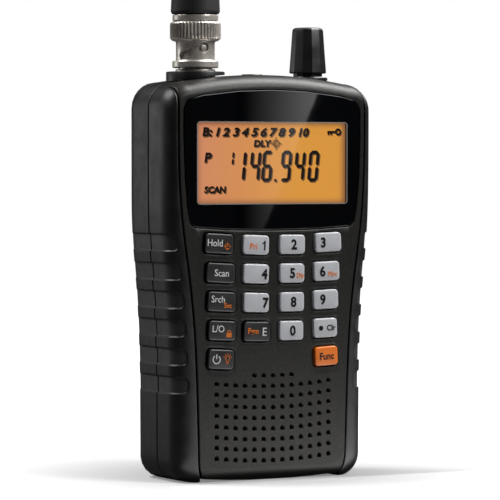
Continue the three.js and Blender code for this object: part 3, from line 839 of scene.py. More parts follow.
def backlit(name, left, right, strength=1.0):
    """The lit display: colour runs from left to right and darkens towards its edges."""
    f = Finish(name)
    sep = f.add("ShaderNodeSeparateXYZ", Vector=f.where)
    x, z = sep.outputs["X"], sep.outputs["Z"]
    across = f.remap(x, 0, 1, -WINDOW[0] * MM, WINDOW[0] * 0.35 * MM)
    tint = f.blend(across, rgba(left), rgba(right))
    mid = (WINDOW[1] + WINDOW[2]) / 2 * MM
    half = (WINDOW[2] - WINDOW[1]) / 2 * MM

    def falloff(value, centre, reach, soft):
        """1 in the middle, falling to 0 at a distance."""
        away = f.calculate("ABSOLUTE", f.calculate("SUBTRACT", value, centre))
        return f.remap(away, 1.0, 0.0, reach - soft, reach, "SMOOTHERSTEP")
    edge = f.calculate("MULTIPLY", falloff(x, 0.0, (WINDOW[0] + 1.2) * MM, 4.2 * MM),
                       falloff(z, mid, half + 1.2 * MM, 3.6 * MM))
    glow = f.blend(edge, rgba([v * 0.3 for v in left]), tint)
    glow = f.blend(f.remap(f.noise(0.35, 2), 0, 0.05), glow, (1, 1, 1, 1))
    mat = f.surface(rgba([v * 0.12 for v in right]), f.remap(f.noise(0.3), 0.4, 0.5),
                    Emission_Strength=strength)
    f.put(f.shader.inputs["Emission Color"], glow)
    return mat


def clear_pane(name):
    """The clear window: seen through, with a faint reflection."""
    f = Finish(name)
    clear = f.add("ShaderNodeBsdfTransparent")
    gloss = f.add("ShaderNodeBsdfGlossy")
    f.put(gloss.inputs["Roughness"], f.remap(f.noise(0.4), 0.02, 0.05))
    fresnel = f.add("ShaderNodeFresnel", IOR=1.45)
    facing = f.remap(f.add("ShaderNodeNewGeometry").outputs["Backfacing"], 1, 0)
    share = f.calculate("MULTIPLY", fresnel.outputs[0], facing)
    return f.layered(share, clear.outputs[0], gloss.outputs[0])


STOCK = {}  # finishes made so far, by name


def stock(name, maker, *args, **more):
    """A finish made once and shared."""
    if name not in STOCK:
        STOCK[name] = maker(name, *args, **more)
    return STOCK[name]


def panel_finish():
    """Charcoal paint."""
    return stock("charcoal_paint", sparkle_paint, settings("finish").panel)


def grip_finish():
    """Black plastic of the grips."""
    return stock("grip_black", moulded, settings("finish").grip, rough=0.42)


def pad_finish():
    """Satin black of the finger recesses."""
    return stock("pad_black", moulded, settings("finish").pad, rough=0.46)


def shell_finish():
    """Black plastic of the rear shell."""
    return stock("shell_black", moulded, settings("finish").shell, rough=0.44)


def nickel():
    """Bright plating of the antenna parts."""
    return stock("nickel", plated, settings("finish").nickel, rough=0.3, metal=0.62)


def steel():
    """Plain steel of screws, pins and cans."""
    return stock("steel", plated, (0.55, 0.55, 0.56), rough=0.28)


# ---------- the pieces ----------
def panel_point(share, edge, sign, path, step):
    """A point of the panel. path says which run of the profile, step how far along it."""
    z = {"sole": 1.0, "toe": 3.0, "face": 50.0, "crest": 112.0, "top": 113.0}[path]
    for _ in range(10):
        reach = seam(z) - GROOVE
        x = sign * (reach - edge) if share is None else share * (reach - EDGE_SPAN)
        if path in ("sole", "top"):
            y = step
        elif path == "toe":
            y = FRONT + 3 - 3 * math.sin(step)
        elif path == "crest":
            y = FRONT + 6.5 - 6.5 * math.sin(step)
        else:
            y = FRONT
        if path in ("sole", "toe"):
            new = bottom_z(x, y)
        elif path in ("crest", "top"):
            new = top_z(x, y)
        else:
            new = bottom_z(x, y) * (1 - step) + top_z(x, y) * step
        z = 0.5 * z + 0.5 * new if path != "face" else new
    lift = 0.1 + 0.0022 * max(0.0, x * x - 42)
    return (x, y, max(new, lift))


def front_panel_grid():
    """The outer and inner points of the charcoal panel."""
    edges = [0, 0.04, 0.1, 0.18, 0.28, 0.42, 0.7, 1.1, 1.6, 2.2, 2.8, 3.4, 4.0, 4.7, 5.5, 6.2]
    columns = [(None, d, -1) for d in edges]
    columns += [(s, 0, 1) for s in np.linspace(-1, 1, 25)]
    columns += [(None, d, 1) for d in edges[::-1]]
    rows = [("sole", y) for y in (-3.65, -3.75, -4, -6, -9, -11.5)]
    toe = (0, 12, 24, 36, 46, 55, 62, 68, 73, 77, 80, 83, 85.5, 87.5, 89)
    rows += [("toe", math.radians(a)) for a in toe]
    face = [0, 0.004, 0.01] + list(np.linspace(0.02, 0.98, 49)) + [0.99, 0.996, 1]
    rows += [("face", t) for t in face]
    crest = (89, 87.5, 85.5, 83, 80, 76, 72, 67, 62, 56, 50, 43, 36, 28, 20, 10, 0)
    rows += [("crest", math.radians(a)) for a in crest]
    rows += [("top", y) for y in (-8.5, -7, -5.5, -4.2, -3.9, -3.75, -3.65)]
    grid = np.array([[panel_point(s, d, sg, p, t) for s, d, sg in columns] for p, t in rows])
    normals = grid_normals(grid)
    if normals[len(rows) // 2, len(columns) // 2, 1] > 0:
        normals = -normals
    x = np.abs(grid[:, :, 0])
    reach = np.array([[seam(p[2]) for p in row] for row in grid]) - GROOVE
    radius = settings("case").edge_radius / MM
    sink = edge_sink(reach - x, radius) + edge_sink(PART - PART_GAP - grid[:, :, 1], radius)
    outer = grid - normals * sink[:, :, None]
    inner = grid - normals * WALL
    inner[:, :, 1] = np.minimum(inner[:, :, 1], PART - PART_GAP)
    inner[:, :, 0] = grid[:, :, 0]
    return outer, inner


def key_cutters():
    """The openings of the keys, with their rounded brims."""
    parts = []
    levels = [(-17, 0.34), (FRONT, 0.3), (FRONT + 0.08, 0.12), (FRONT + 0.3, 0), (-13.6, 0)]
    for x, z, width, tilt in KEYS.values():
        plan = rounded_rect(width + KEY_GAP, KEY_H + KEY_GAP, KEY_R + KEY_GAP / 2)
        parts.append(stepped_plate(shifted(turned(plan, tilt), x, z), levels))
    return parts


def grille_cutters():
    """The speaker holes: eight full rows and a short one, bowed slightly upwards."""
    case = settings("case")
    r, flare, pitch = case.hole_radius / MM, case.hole_flare / MM, case.hole_pitch / MM
    parts = []
    for row in range(9):
        half = 2 if row == 8 else 6
        for c in range(-half, half + 1):
            x = c * pitch
            z = 5.6 + row * pitch + 0.0034 * x * x
            profile = [(r + flare, -17), (r + flare, FRONT + 0.02), (r + flare * 0.45, FRONT + 0.16),
                       (r, FRONT + 0.4), (r, -13.8)]
            parts.append(lathe_y(profile, (x, z), 16))
    return parts


def build_front_panel():
    """The charcoal panel with its lens seat, key openings and speaker holes."""
    panel = body_mesh("front_panel", *shell_from(*front_panel_grid()))
    lens_outline = eased(mirror_outline(LENS), 2.2)
    brim = [(-17, 0.3), (FRONT, 0.26), (FRONT + 0.1, 0.08), (FRONT + 0.26, 0), (LENS_SEAT, 0)]
    cut(panel, stepped_plate(grow(lens_outline, 0.3), brim))
    cut(panel, block(-25.1, 25.1, -17, -12.5, 77.9, 102.8))
    cut(panel, merged(*key_cutters()))
    cut(panel, merged(*grille_cutters()))
    for centre, radius in TOP_HOLES:
        cut(panel, bore(centre, radius))
    place(panel, "case", panel_finish(), ["front_cover"])


def side_grid(levels_at, inset=None):
    """Points of a plain flank: rows round the outline, columns by depth.

    levels_at gives the depths for a row's height.
    """
    rows_mid = flank_rows()
    ends = np.array(spaced(1.0, 0.05, tuple(v / 22 for v in EDGE_STEPS)))
    rows = []
    low = [(y, resample(split_section(y, inset)[0], ends)) for y in levels_at(rows_mid[0])]
    for k in range(len(ends)):
        rows.append([(pts[k][0], y, pts[k][1]) for y, pts in low])
    for z in rows_mid[1:-1]:
        rows.append([(half_width(y, z), y, z) for y in levels_at(z)])
    high = [(y, resample(split_section(y, inset)[1], 1 - ends[::-1])) for y in levels_at(rows_mid[-1])]
    for k in range(len(ends)):
        rows.append([(pts[k][0], y, pts[k][1]) for y, pts in high])
    if inset is not None:
        rows = [[(max(x, seam(z) + inset), y, z) for x, y, z in row] for row in rows]
    return np.array(rows)


def grip_levels(z):
    """Depths of the grip's columns at a height, from the groove round to the parting seam."""
    span = flank(z) - seam(z)
    near = [math.asin((GROOVE + d) / span) for d in EDGE_STEPS + (0.6, 0.8)]
    turn = near + list(np.linspace(near[-1], math.radians(64), 32))[1:]
    turn += [math.radians(a) for a in (70, 77, 84, 90)]
    end = PART - PART_GAP
    levels = [FRONT + 6 - 6 * math.cos(a) for a in turn]
    return levels + [-9.2, -8.2, -7.2, -6.2, -5.2, -4.5] + [end - d for d in EDGE_STEPS[::-1]]


def pad_groups(faces, share):
    """1 for each outer face that lies in a finger recess, 0 for the others."""
    inside = share.reshape(-1) > 0.5
    return [int(all(i < len(inside) and inside[i] for i in face)) for face in faces]


def coat(obj, *finishes):
    """Gives an object its finishes, in the order of its faces' groups."""
    for finish in finishes:
        obj.data.materials.append(finish)


def build_grips():
    """The two black side pieces with their finger recesses."""
    case = settings("case")
    radius = case.edge_radius / MM
    end = PART - PART_GAP
    grid = side_grid(grip_levels, GROOVE)
    normals = grid_normals(grid)
    if normals[len(grid) // 2, -3, 0] < 0:
        normals = -normals
    reach = np.array([[seam(p[2]) + GROOVE for p in row] for row in grid])
    gap = grid[:, :, 0] - reach
    sink = edge_sink(gap, radius) + edge_sink(end - grid[:, :, 1], radius)
    steps = np.linalg.norm(np.diff(grid, axis=1), axis=2)
    run = np.concatenate([np.zeros((len(grid), 1)), np.cumsum(steps, axis=1)], axis=1)
    share = recess_share(run, grid[:, :, 2], RECESS_START)
    sink += case.recess_depth / MM * share
    outer = grid - normals * sink[:, :, None]
    inner = grid - normals * WALL
    inner[:, :, 1] = np.minimum(inner[:, :, 1], end)
    inner[:, :, 0] = np.maximum(inner[:, :, 0], reach)
    verts, faces = shell_from(outer, inner)
    groups = pad_groups(faces, share)
    for side, sign in (("right", 1), ("left", -1)):
        grip = body_mesh(f"{side}_grip", [(sign * x, y, z) for x, y, z in verts], faces, 40, groups)
        coat(grip, grip_finish(), pad_finish())
        if sign > 0:
            cut(grip, bore(*TOP_HOLES[1]))
        place(grip, "case", None, [f"{side}_front_grip"])


def build_rear_cover():
    """The rear shell with its battery bay, screw holes and port opening."""
    case = settings("case")
    radius = case.edge_radius / MM
    start = PART + PART_GAP
    levels = [start + d for d in EDGE_STEPS] + [-2.2, -1, 0.2, 1.4, 2.6, 3.8]
    turn = list(np.arange(0, 84, 4)) + [84, 86.5, 88.5, 90]
    levels += [BACK - 11 + 11 * math.sin(math.radians(a)) for a in turn]
    half = side_grid(lambda z: levels)
    left = half[1:-1][::-1] * np.array([-1, 1, 1])
    grid = np.concatenate([half, left])
    wrapped = np.concatenate([grid[-1:], grid, grid[:1]])
    normals = grid_normals(wrapped)[1:-1]
    if normals[len(half) // 2, 3, 0] < 0:
        normals = -normals
    normals[:, -1] = (0, 1, 0)
    sink = edge_sink(grid[:, :, 1] - start, radius)
    fade = np.interp(grid[:, :, 1], [3, 7, 9.5, 11.6], [1, 0.62, 0.3, 0])
    share = recess_share(np.full(grid.shape[:2], 9.0), grid[:, :, 2], RECESS_START)
    share = share * (np.abs(grid[:, :, 0]) > 20)
    sink += case.recess_depth / MM * share * fade
    outer = grid - normals * sink[:, :, None]
    inner = grid - normals * WALL
    inner[:, :, 1] = np.maximum(inner[:, :, 1], start)
    inner[:, -1, 1] = BACK - WALL
    verts, faces = shell_from(outer, inner, loop=True)
    cover = body_mesh("rear_cover_shell", verts, faces, 40, pad_groups(faces, share * (fade > 0.1)))
    coat(cover, shell_finish(), pad_finish())
    half, b0, b1, floor, wall = BAY
    tray = block(-half - wall, half + wall, floor - wall, 14.9, b0 - wall, b1 + wall)
    cut(cover, tray, 40, "UNION")
    cuts = [block(-half, half, floor, 20, b0, b1),
            block(-DOOR_FLANGE - 0.4, DOOR_FLANGE + 0.4, 14, 15.4, -1, DOOR_Z1 + 0.4),
            block(-DOOR_W - 0.4, DOOR_W + 0.4, 14, 20, -1, DOOR_Z1 + 0.4)]
    for x, z in CASE_SCREWS.values():
        cuts.append(lathe_y([(2.4, 10), (2.4, 17)], (x, z), 32))
    for x, z in CLIP_SCREWS.values():
        cuts.append(lathe_y([(1.35, 10), (1.35, 20)], (x, z), 24))
    for centre, radius in TOP_HOLES:
        cuts.append(bore(centre, radius))
    y0, y1, z0, z1 = PORT
    cuts.append(block(28, 40, y0 + 0.8, y1 - 0.8, z0 + 1.6, z1 - 1.6))
    cuts.append(block(32.2, 40, y0 - 1.2, y1 + 1.2, z0 - 1.4, z1 + 1.4))
    for part in cuts:
        cut(cover, part, 40)
    place(cover, "case", None, ["rear_cover"])
    build_parting_lip()


def build_parting_lip():
    """The lip inside the parting seam, which closes the gap between the two halves."""
    half = [tuple(p) for p in section(PART)]
    outline = half + [(-x, z) for x, z in half[::-1] if x > 1e-3]
    lip = body_mesh("parting_lip", *ring_shape(grow(outline, -2.0), grow(outline, -2.5), PART, 2.2))
    for centre, radius in LIP_HOLES:
        cut(lip, bore(centre, radius))
    place(lip, "case", shell_finish())


def floor_paper():
    """Pale paper that glows a little more with distance, so that it runs out into white."""
    f = Finish("floor_paper")
    away = f.add("ShaderNodeVectorMath", operation="LENGTH")
    f.put(away.inputs[0], f.where)
    glow = f.remap(away.outputs["Value"], 0.22, 1.1, 0.03, 0.12)
    tint = f.blend(f.noise(30, 3), (0.76, 0.76, 0.76, 1), (0.8, 0.8, 0.8, 1))
    f.surface(tint, f.remap(f.noise(5), 0.8, 0.9), f.bump(f.noise(0.8), 0.01),
              Emission_Color=(1, 1, 1, 1), Specular_IOR_Level=0.1)
    f.put(f.shader.inputs["Emission Strength"], glow)
    dim = f.add("ShaderNodeBsdfDiffuse", Color=(0.16, 0.16, 0.16, 1))
    direct = f.add("ShaderNodeLightPath").outputs["Is Camera Ray"]
    return f.layered(direct, dim.outputs[0], f.shader.outputs[0])


def reflector(name, corners, low, high, strength):
    """A card seen only in gloss, brighter from one x to another."""
    card = body_mesh(name, corners, [tuple(range(len(corners)))])
    f = Finish(name)
    sep = f.add("ShaderNodeSeparateXYZ", Vector=f.where)
    rise = f.calculate("POWER", f.remap(sep.outputs["X"], 0, 1, low * MM, high * MM), 1.5)
    lamp = f.add("ShaderNodeEmission", Strength=f.remap(rise, 0, strength))
    f.put(f.out.inputs["Surface"], lamp.outputs[0])
    card.data.materials.append(f.mat)
    card.visible_camera = card.visible_diffuse = card.visible_shadow = False


def build_studio():
    """The camera, the floor, the even light, the softboxes and the gloss cards."""
    scene = bpy.context.scene
    studio = settings("studio")
    cam = bpy.data.cameras.new("camera")
    cam.lens = studio.focal
    cam.sensor_width = 36
    cam.clip_start, cam.clip_end = 0.05, 50
    eye = bpy.data.objects.new("camera", cam)
    scene.collection.objects.link(eye)
    turn, tip = math.radians(CAMERA_TURN), math.radians(CAMERA_TIP)
    ahead = Vector((math.sin(turn) * math.cos(tip), math.cos(turn) * math.cos(tip),
                    -math.sin(tip)))
    right = Vector((math.cos(turn), -math.sin(turn), 0))
    up = right.cross(ahead)
    look = Matrix((right, up, -ahead)).transposed().to_4x4()
    look.translation = Vector(CAMERA_AT) * MM
    eye.matrix_world = look
    scene.camera = eye
    scene.view_settings.view_transform = "Standard"

    floor = body_mesh("floor", *lathe([(1500, -3), (1500, 0)], count=96))
    floor.data.materials.append(floor_paper())

    world = bpy.data.worlds.new("studio")
    scene.world = world
    world.use_nodes = True
    tree = world.node_tree
    tree.nodes.clear()
    out = tree.nodes.new("ShaderNodeOutputWorld")
    seen = tree.nodes.new("ShaderNodeBackground")
    seen.inputs["Color"].default_value = (1, 1, 1, 1)
    soft = tree.nodes.new("ShaderNodeBackground")
    soft.inputs["Color"].default_value = (0.96, 0.98, 1.0, 1)
    soft.inputs["Strength"].default_value = studio.ambient
    path = tree.nodes.new("ShaderNodeLightPath")
    mix = tree.nodes.new("ShaderNodeMixShader")
    tree.links.new(path.outputs["Is Camera Ray"], mix.inputs[0])
    tree.links.new(soft.outputs[0], mix.inputs[1])
    tree.links.new(seen.outputs[0], mix.inputs[2])
    tree.links.new(mix.outputs[0], out.inputs[0])

    def softbox(name, place_mm, aim_mm, width, height, power):
        """A rectangular lamp aimed at a point, itself out of sight."""
        data = bpy.data.lights.new(name, "AREA")
        data.shape = "RECTANGLE"
        data.size, data.size_y = width * MM, height * MM
        data.energy = power
        lamp = bpy.data.objects.new(name, data)
        scene.collection.objects.link(lamp)
        lamp.visible_camera = False
        at, aim = Vector(place_mm) * MM, Vector(aim_mm) * MM
        lamp.location = at
        lamp.rotation_euler = (aim - at).to_track_quat("-Z", "Y").to_euler()
        return lamp
    softbox("front_light", (330, -520, 520), (0, 0, 60), 300, 300, studio.key_power)
    crown_lamp = softbox("crown_light", (320, -20, 620), (0, 0, 110), 460, 460, studio.crown_power)
    unlit = bpy.data.collections.new("not_lit_from_the_right")
    unlit.objects.link(floor)
    crown_lamp.light_linking.receiver_collection = unlit
    unlit.collection_objects[0].light_linking.link_state = "EXCLUDE"
    softbox("back_light", (-380, 260, 600), (0, 0, 60), 300, 300, studio.back_power)
    softbox("side_light", (-440, 560, 150), (-30, 0, 55), 300, 260, studio.side_power)
    slanted = [(202, -416, 59.3), (214.5, -416, 59.3), (243.7, -416, 123.6), (202, -416, 123.6)]
    reflector("lens_card", slanted, 205, 242, 2.6)
    level = [(-36, -110, 0.4), (110, -110, 0.4), (110, -19, 0.4), (-36, -19, 0.4)]
    reflector("toe_card", level, -120, 20, 4.0)


# ---------- lettering ----------
def glyphs(text, size, x, z, y, weight=0.0, slant=0.0, squeeze=1.0):
    """Letters on a front face, centred at x and z, as (verts, faces) in millimetres."""
    curve = bpy.data.curves.new("letters", "FONT")
    curve.body = text
    curve.size = size * MM / 0.72
    curve.offset = weight * MM
    curve.shear = slant
    curve.extrude = INK_THICK / 2 * MM
    curve.resolution_u = 3
    curve.align_x = "CENTER"
    curve.align_y = "CENTER"
    obj = bpy.data.objects.new("letters", curve)
    bpy.context.scene.collection.objects.link(obj)
    bpy.context.view_layer.update()
    graph = bpy.context.evaluated_depsgraph_get()
    mesh = bpy.data.meshes.new_from_object(obj.evaluated_get(graph))
    low = min(v.co.y for v in mesh.vertices)
    high = max(v.co.y for v in mesh.vertices)
    mid = (low + high) / 2
    verts = [(x + v.co.x / MM * squeeze, y - v.co.z / MM, z + (v.co.y - mid) / MM)
             for v in mesh.vertices]
    faces = [tuple(p.vertices) for p in mesh.polygons]
    bpy.data.objects.remove(obj)
    bpy.data.curves.remove(curve)
    bpy.data.meshes.remove(mesh)
    return verts, faces


def flat_shape(outline, y):
    """A printed shape about as thick as ink, centred at depth y."""
    return plate(outline, y - INK_THICK / 2, y + INK_THICK / 2)


def stroke(x0, z0, x1, z1, width, y):
    """A printed straight stroke between two points."""
    return flat_shape(bar_outline(x0, z0, x1, z1, width), y)


def spokes(x, z, near, far, angles, width, y):
    """Printed strokes that point away from a centre, from one distance to another."""
    parts = []
    for angle in angles:
        dx, dz = math.cos(math.radians(angle)), math.sin(math.radians(angle))
        parts.append(stroke(x + near * dx, z + near * dz, x + far * dx, z + far * dz, width, y))
    return parts


def ring_shape(outer, inner, y, thick=INK_THICK):
    """A flat frame between two outlines of equal length."""
    front, back = y - thick / 2, y + thick / 2
    lines = ((outer, front), (inner, front), (inner, back), (outer, back))
    rings = [[(x, d, z) for x, z in line] for line, d in lines]
    return tower(rings, looped=True)


def disc_outline(x, z, r, count=24):
    """Points round a circle centred at x and z."""
    return [(x + a, z + b) for a, b in circle(r, count)]


def bar_outline(x0, z0, x1, z1, width):
    """A straight stroke between two points."""
    d = Vector((x1 - x0, z1 - z0)).normalized() * (width / 2)
    n = Vector((-d.y, d.x))
    return [(x0 - d.x + n.x, z0 - d.y + n.y), (x0 - d.x - n.x, z0 - d.y - n.y),
            (x1 + d.x - n.x, z1 + d.y - n.y), (x1 + d.x + n.x, z1 + d.y + n.y)]


def arc_band(x, z, r, width, start, end, y, steps=20):
    """A flat arc from one angle to another, in degrees."""
    angles = [math.radians(start + (end - start) * k / steps) for k in range(steps + 1)]
    outer = [(x + (r + width / 2) * math.cos(a), z + (r + width / 2) * math.sin(a)) for a in angles]
    inner = [(x + (r - width / 2) * math.cos(a), z + (r - width / 2) * math.sin(a)) for a in angles]
    return flat_shape(outer + inner[::-1], y)


def marks(name, parts, body, finish):
    """Printed or etched marks joined into one piece."""
    obj = body_mesh(name, *merged(*parts), smooth=20)
    return place(obj, body, finish)


# ---------- display ----------
SEGMENTS = {
    "0": "abcdef", "1": "bc", "2": "abged", "3": "abgcd", "4": "fgbc", "5": "afgcd",
    "6": "afgedc", "7": "abc", "8": "abcdefg", "9": "abcfgd",
}


def seven_segments(digit, x, z, w, h, s, slant, y):
    """One digit of the display, its lower left corner at x and z, its strokes s wide."""
    g = s * 0.13  # gap between two segments
    m = h / 2

    def horizontal(zc):
        return [(g + s * 0.35, zc), (g + s * 0.8, zc + s / 2), (w - g - s * 0.8, zc + s / 2),
                (w - g - s * 0.35, zc), (w - g - s * 0.8, zc - s / 2), (g + s * 0.8, zc - s / 2)]

    def vertical(xc, z0, z1):
        return [(xc, z0 + g), (xc + s / 2, z0 + g + s * 0.5), (xc + s / 2, z1 - g - s * 0.5),
                (xc, z1 - g), (xc - s / 2, z1 - g - s * 0.5), (xc - s / 2, z0 + g + s * 0.5)]
    shapes = {
        "a": horizontal(h - s / 2), "g": horizontal(m), "d": horizontal(s / 2),
        "f": vertical(s / 2, m, h - s * 0.3), "b": vertical(w - s / 2, m, h - s * 0.3),
        "e": vertical(s / 2, s * 0.3, m), "c": vertical(w - s / 2, s * 0.3, m),
    }
    return [flat_shape([(x + px + slant * pz, z + pz) for px, pz in shapes[k]], y)
            for k in SEGMENTS[digit]]


# where each digit stands
BANK_ROW = dict(zip("123456789", (-17.5, -14.75, -11.6, -8.7, -5.6, -2.75, 0.15, 3.15, 6.25)))
BANK_Z, DELAY_Z, SIGN_X, LOCK_X, LOCK_Z = 99.1, 95.9, 1.5, 21.9, 99.3
BIG_DIGITS = (("4", -7.4), ("6", -3.5), ("9", 2.6), ("4", 7.1), ("0", 11.6))


def display_marks(y):
    """Everything that the display shows: a bank row, icons, a letter and the large frequency."""
    parts = [glyphs("B:", 2.45, -20.7, BANK_Z, y, 0.15, 0.12, squeeze=1.15)]
    for text, x in BANK_ROW.items():
        parts.append(glyphs(text, 2.35, x, BANK_Z, y, 0.14, 0.24, squeeze=1.25))
    parts.append(glyphs("10", 2.35, 10.1, BANK_Z, y, 0.14, 0.24, squeeze=1.1))
    parts.append(glyphs("P", 2.7, -20.6, 91.85, y, 0.15, 0.15, squeeze=1.1))
    parts.append(glyphs("SCAN", 1.8, -18.2, 82.8, y, 0.12, 0.12, squeeze=1.05))
    parts.append(glyphs("DLY", 1.8, -3.1, DELAY_Z, y, 0.13, 0.12, squeeze=1.15))
    # rotary sign beside the delay word
    parts.append(arc_band(SIGN_X, DELAY_Z, 0.95, 0.26, 0, 359, y, 28))
    parts.append(arc_band(SIGN_X, DELAY_Z, 0.42, 0.26, 50, 310, y, 16))
    parts += spokes(SIGN_X, DELAY_Z, 1.35, 1.6, (0, 90, 180, 270), 0.26, y)
    # key for the locked state
    x, z = LOCK_X, LOCK_Z
    parts.append(ring_shape(disc_outline(x, z, 1.0), disc_outline(x, z, 0.45), y))
    parts.append(stroke(x - 3.3, z, x - 1.2, z, 0.5, y))
    for tooth in (3.25, 2.35):
        parts.append(stroke(x - tooth, z - 0.7, x - tooth, z - 0.2, 0.42, y))
    # the frequency
    slant, foot, height, width, line = 0.1, 85.0, 8.9, 3.4, 1.0
    parts += seven_segments("1", -14.3, 89.6, 2.0, 4.1, 0.6, slant, y)
    parts += seven_segments("1", -12.1, foot, width, height, line, slant, y)
    for digit, left in BIG_DIGITS:
        parts += seven_segments(digit, left, foot, width, height, line, slant, y)
    parts.append(stroke(1.25, foot + 0.4, 1.3, foot + 0.4, 0.75, y))
    return parts


def build_display():
    """The lens, its clear window and rim, the lit plate, what it shows and a painted shadow of the
    segments.
    """
    finish = settings("finish")
    gloss = stock("lens_black", polished_black, finish.lens)
    outline = eased(mirror_outline(LENS), 2.2)
    half, z0, z1 = WINDOW
    hole = shifted(rounded_rect(2 * half, z1 - z0, 0.9), 0, (z0 + z1) / 2)
    levels = [(LENS_FRONT, -0.12), (LENS_FRONT + 0.05, -0.03), (LENS_FRONT + 0.14, 0),
              (LENS_BACK, 0)]
    lens = body_mesh("display_lens_print", *stepped_plate(outline, levels), smooth=50)
    cut(lens, plate(hole, -17, -14), 50)
    place(lens, "case", gloss, ["display_lens"])
    pane_plan = grow(hole, -0.02)
    pane = body_mesh("display_window", *plate(pane_plan, LENS_FRONT + 0.03, LENS_FRONT + 0.08))
    place(pane, "case", stock("clear_window", clear_pane))
    rim_ring = ring_shape(grow(hole, 0.12), grow(hole, -0.16), LENS_FRONT - 0.01, 0.03)
    rim = body_mesh("window_rim", *rim_ring)
    place(rim, "case", stock("rim_grey", print_and_painted_light, (0.30, 0.27, 0.24), rough=0.4))
    lit_plate = body_mesh("display_plate", *stepped_plate(
        rounded_rect(50, 25, 0.5), [(DISPLAY_Y, 0), (DISPLAY_Y + 0.2, 0.05), (-13.7, 0.05)]))
    lit_plate.data.transform(Matrix.Translation((0, 0, (z0 + z1) / 2 * MM)))
    glow = stock("display_amber", backlit, finish.lit_left, finish.lit_right, 1.0)
    place(lit_plate, "case", glow, ["lcd_glass"])
    ink = stock("display_ink", print_and_painted_light, (0.012, 0.008, 0.006), rough=0.5)
    marks("display_segments", display_marks(INK_Y), "case", ink)
    # painted shadow: a dim amber copy of the segments, set 0.34 mm right and down on the lit plate
    painted_digit_shadow = stock("display_shadow", print_and_painted_light, (0.24, 0.11, 0.05), rough=0.6)
    verts, faces = merged(*display_marks(DISPLAY_Y - 0.012))
    verts = [(x + 0.34, y, z - 0.34) for x, y, z in verts]
    shadow = body_mesh("display_segment_shadow", verts, faces, smooth=20)
    place(shadow, "case", painted_digit_shadow)


# ---------- keys ----------
def key_rings(x, z, width, tilt):
    """Rings of a key from its lip at the back to its crowned face."""
    keys = settings("keys")
    edge, crown = keys.edge / MM, keys.crown / MM
    steps = [(KEY_BACK, KEY_LIP), (KEY_LIP_FRONT, KEY_LIP), (KEY_LIP_FRONT, 0), (KEY_FACE + edge, 0)]
    for a in (20, 40, 58, 74, 90):
        t = math.radians(a)
        y = KEY_FACE + crown + (edge - crown) * (1 - math.sin(t))
        steps.append((y, -edge * (1 - math.cos(t))))
    rings = []
    plan = turned(rounded_rect(width, KEY_H, KEY_R), tilt)
    for y, g in steps:
        rings.append([(x + px, y, z + pz) for px, pz in (grow(plan, g) if g else plan)])
    top = grow(plan, -edge)
    for k in (0.85, 0.68, 0.48, 0.25, 0.08):
        y = KEY_FACE + crown * k * k
        rings.append([(x + px * k, y, z + pz * k) for px, pz in top])
    return rings


def bulb_marks(x, z, y, s):
    """An outlined lamp with rays."""
    parts = [arc_band(x, z + 0.35 * s, 0.62 * s, 0.2 * s, -50, 230, y, 18)]
    for side in (-1, 1):
        parts.append(stroke(x + side * 0.4 * s, z - 0.12 * s, x + side * 0.3 * s, z - 0.6 * s,
                            0.2 * s, y))
    for drop in (0.72, 1.05):
        parts.append(stroke(x - 0.26 * s, z - drop * s, x + 0.26 * s, z - drop * s, 0.2 * s, y))
    return parts + spokes(x, z + 0.35 * s, s, 1.3 * s, (20, 55, 90, 125, 160), 0.17 * s, y)


def lock_marks(x, z, y, s):
    """A closed padlock."""
    half, low, high = 0.75 * s, z - 0.95 * s, z + 0.15 * s
    return [flat_shape([(x - half, low), (x + half, low), (x + half, high), (x - half, high)], y),
            arc_band(x, z + 0.3 * s, 0.45 * s, 0.2 * s, 0, 180, y, 12)]


def rotate_marks(x, z, y, s):
    """A rotary sign: a dot in an open ring with four rays."""
    parts = [arc_band(x, z, 0.72 * s, 0.24 * s, 20, 340, y, 20)]
    parts.append(flat_shape(disc_outline(x, z, 0.25 * s, 12), y))
    return parts + spokes(x, z, 0.9 * s, 1.15 * s, (0, 90, 180, 270), 0.22 * s, y)


def power_marks(x, z, y, s):
    """An open ring with a stroke at its top."""
    return [arc_band(x, z, 0.95 * s, 0.26 * s, 125, 415, y, 28),
            stroke(x, z + 0.25 * s, x, z + 1.15 * s, 0.26 * s, y)]


def flagged_one(x, z, y, height):
    """The numeral 1 as a stem with a short flag."""
    top, foot = z + height / 2, z - height / 2
    return flat_shape([(x - 0.1, foot), (x + 0.34, foot), (x + 0.34, top), (x, top),
                       (x - 0.24, top - 0.42), (x - 0.66, top - 0.68), (x - 0.66, top - 1.08),
                       (x - 0.1, top - 0.8)], y)


# text, place in the key, height as a share of its class, boldness, width
WORDS = {
    "hold": ("Hold", -1.45, 0.15, 1.0, 0.02, 0.92), "scan": ("Scan", 0.2, 0.0, 1.0, 0.02, 0.95),
    "srch": ("Srch", -1.3, 0.68, 1.0, 0.02, 0.9), "lo": ("L/O", -1.4, 0.5, 1.0, 0.02, 0.92),
    "pgm": ("E", 2.3, -0.05, 1.2, 0.03, 0.95), "func": ("Func", 0.0, 0.0, 1.02, 0.07, 0.88),
    "clear": ("Clr", 1.75, 0.0, 0.82, 0.07, 0.95),
}
# how far to the right of the key's centre each numeral stands
NUMERALS = {
    "2": 0.45, "3": -1.75, "4": 2.6, "5": 0.0, "6": -1.5, "7": 2.8, "8": 0.35, "9": -1.1, "0": 0.3,
}
# the orange second legends: text, place in the key, height as a share of its class, width
SECOND = {
    "1": ("Pri", -0.9, -0.4, 1.2, 0.95), "5": ("Dly", 2.5, -0.85, 0.95, 0.95),
    "6": ("PSrc", 1.75, -0.85, 0.98, 0.88),
    "srch": ("Svc", 1.9, -1.0, 1.05, 0.95), "pgm": ("Pgm", -1.3, -0.1, 1.2, 0.9),
}


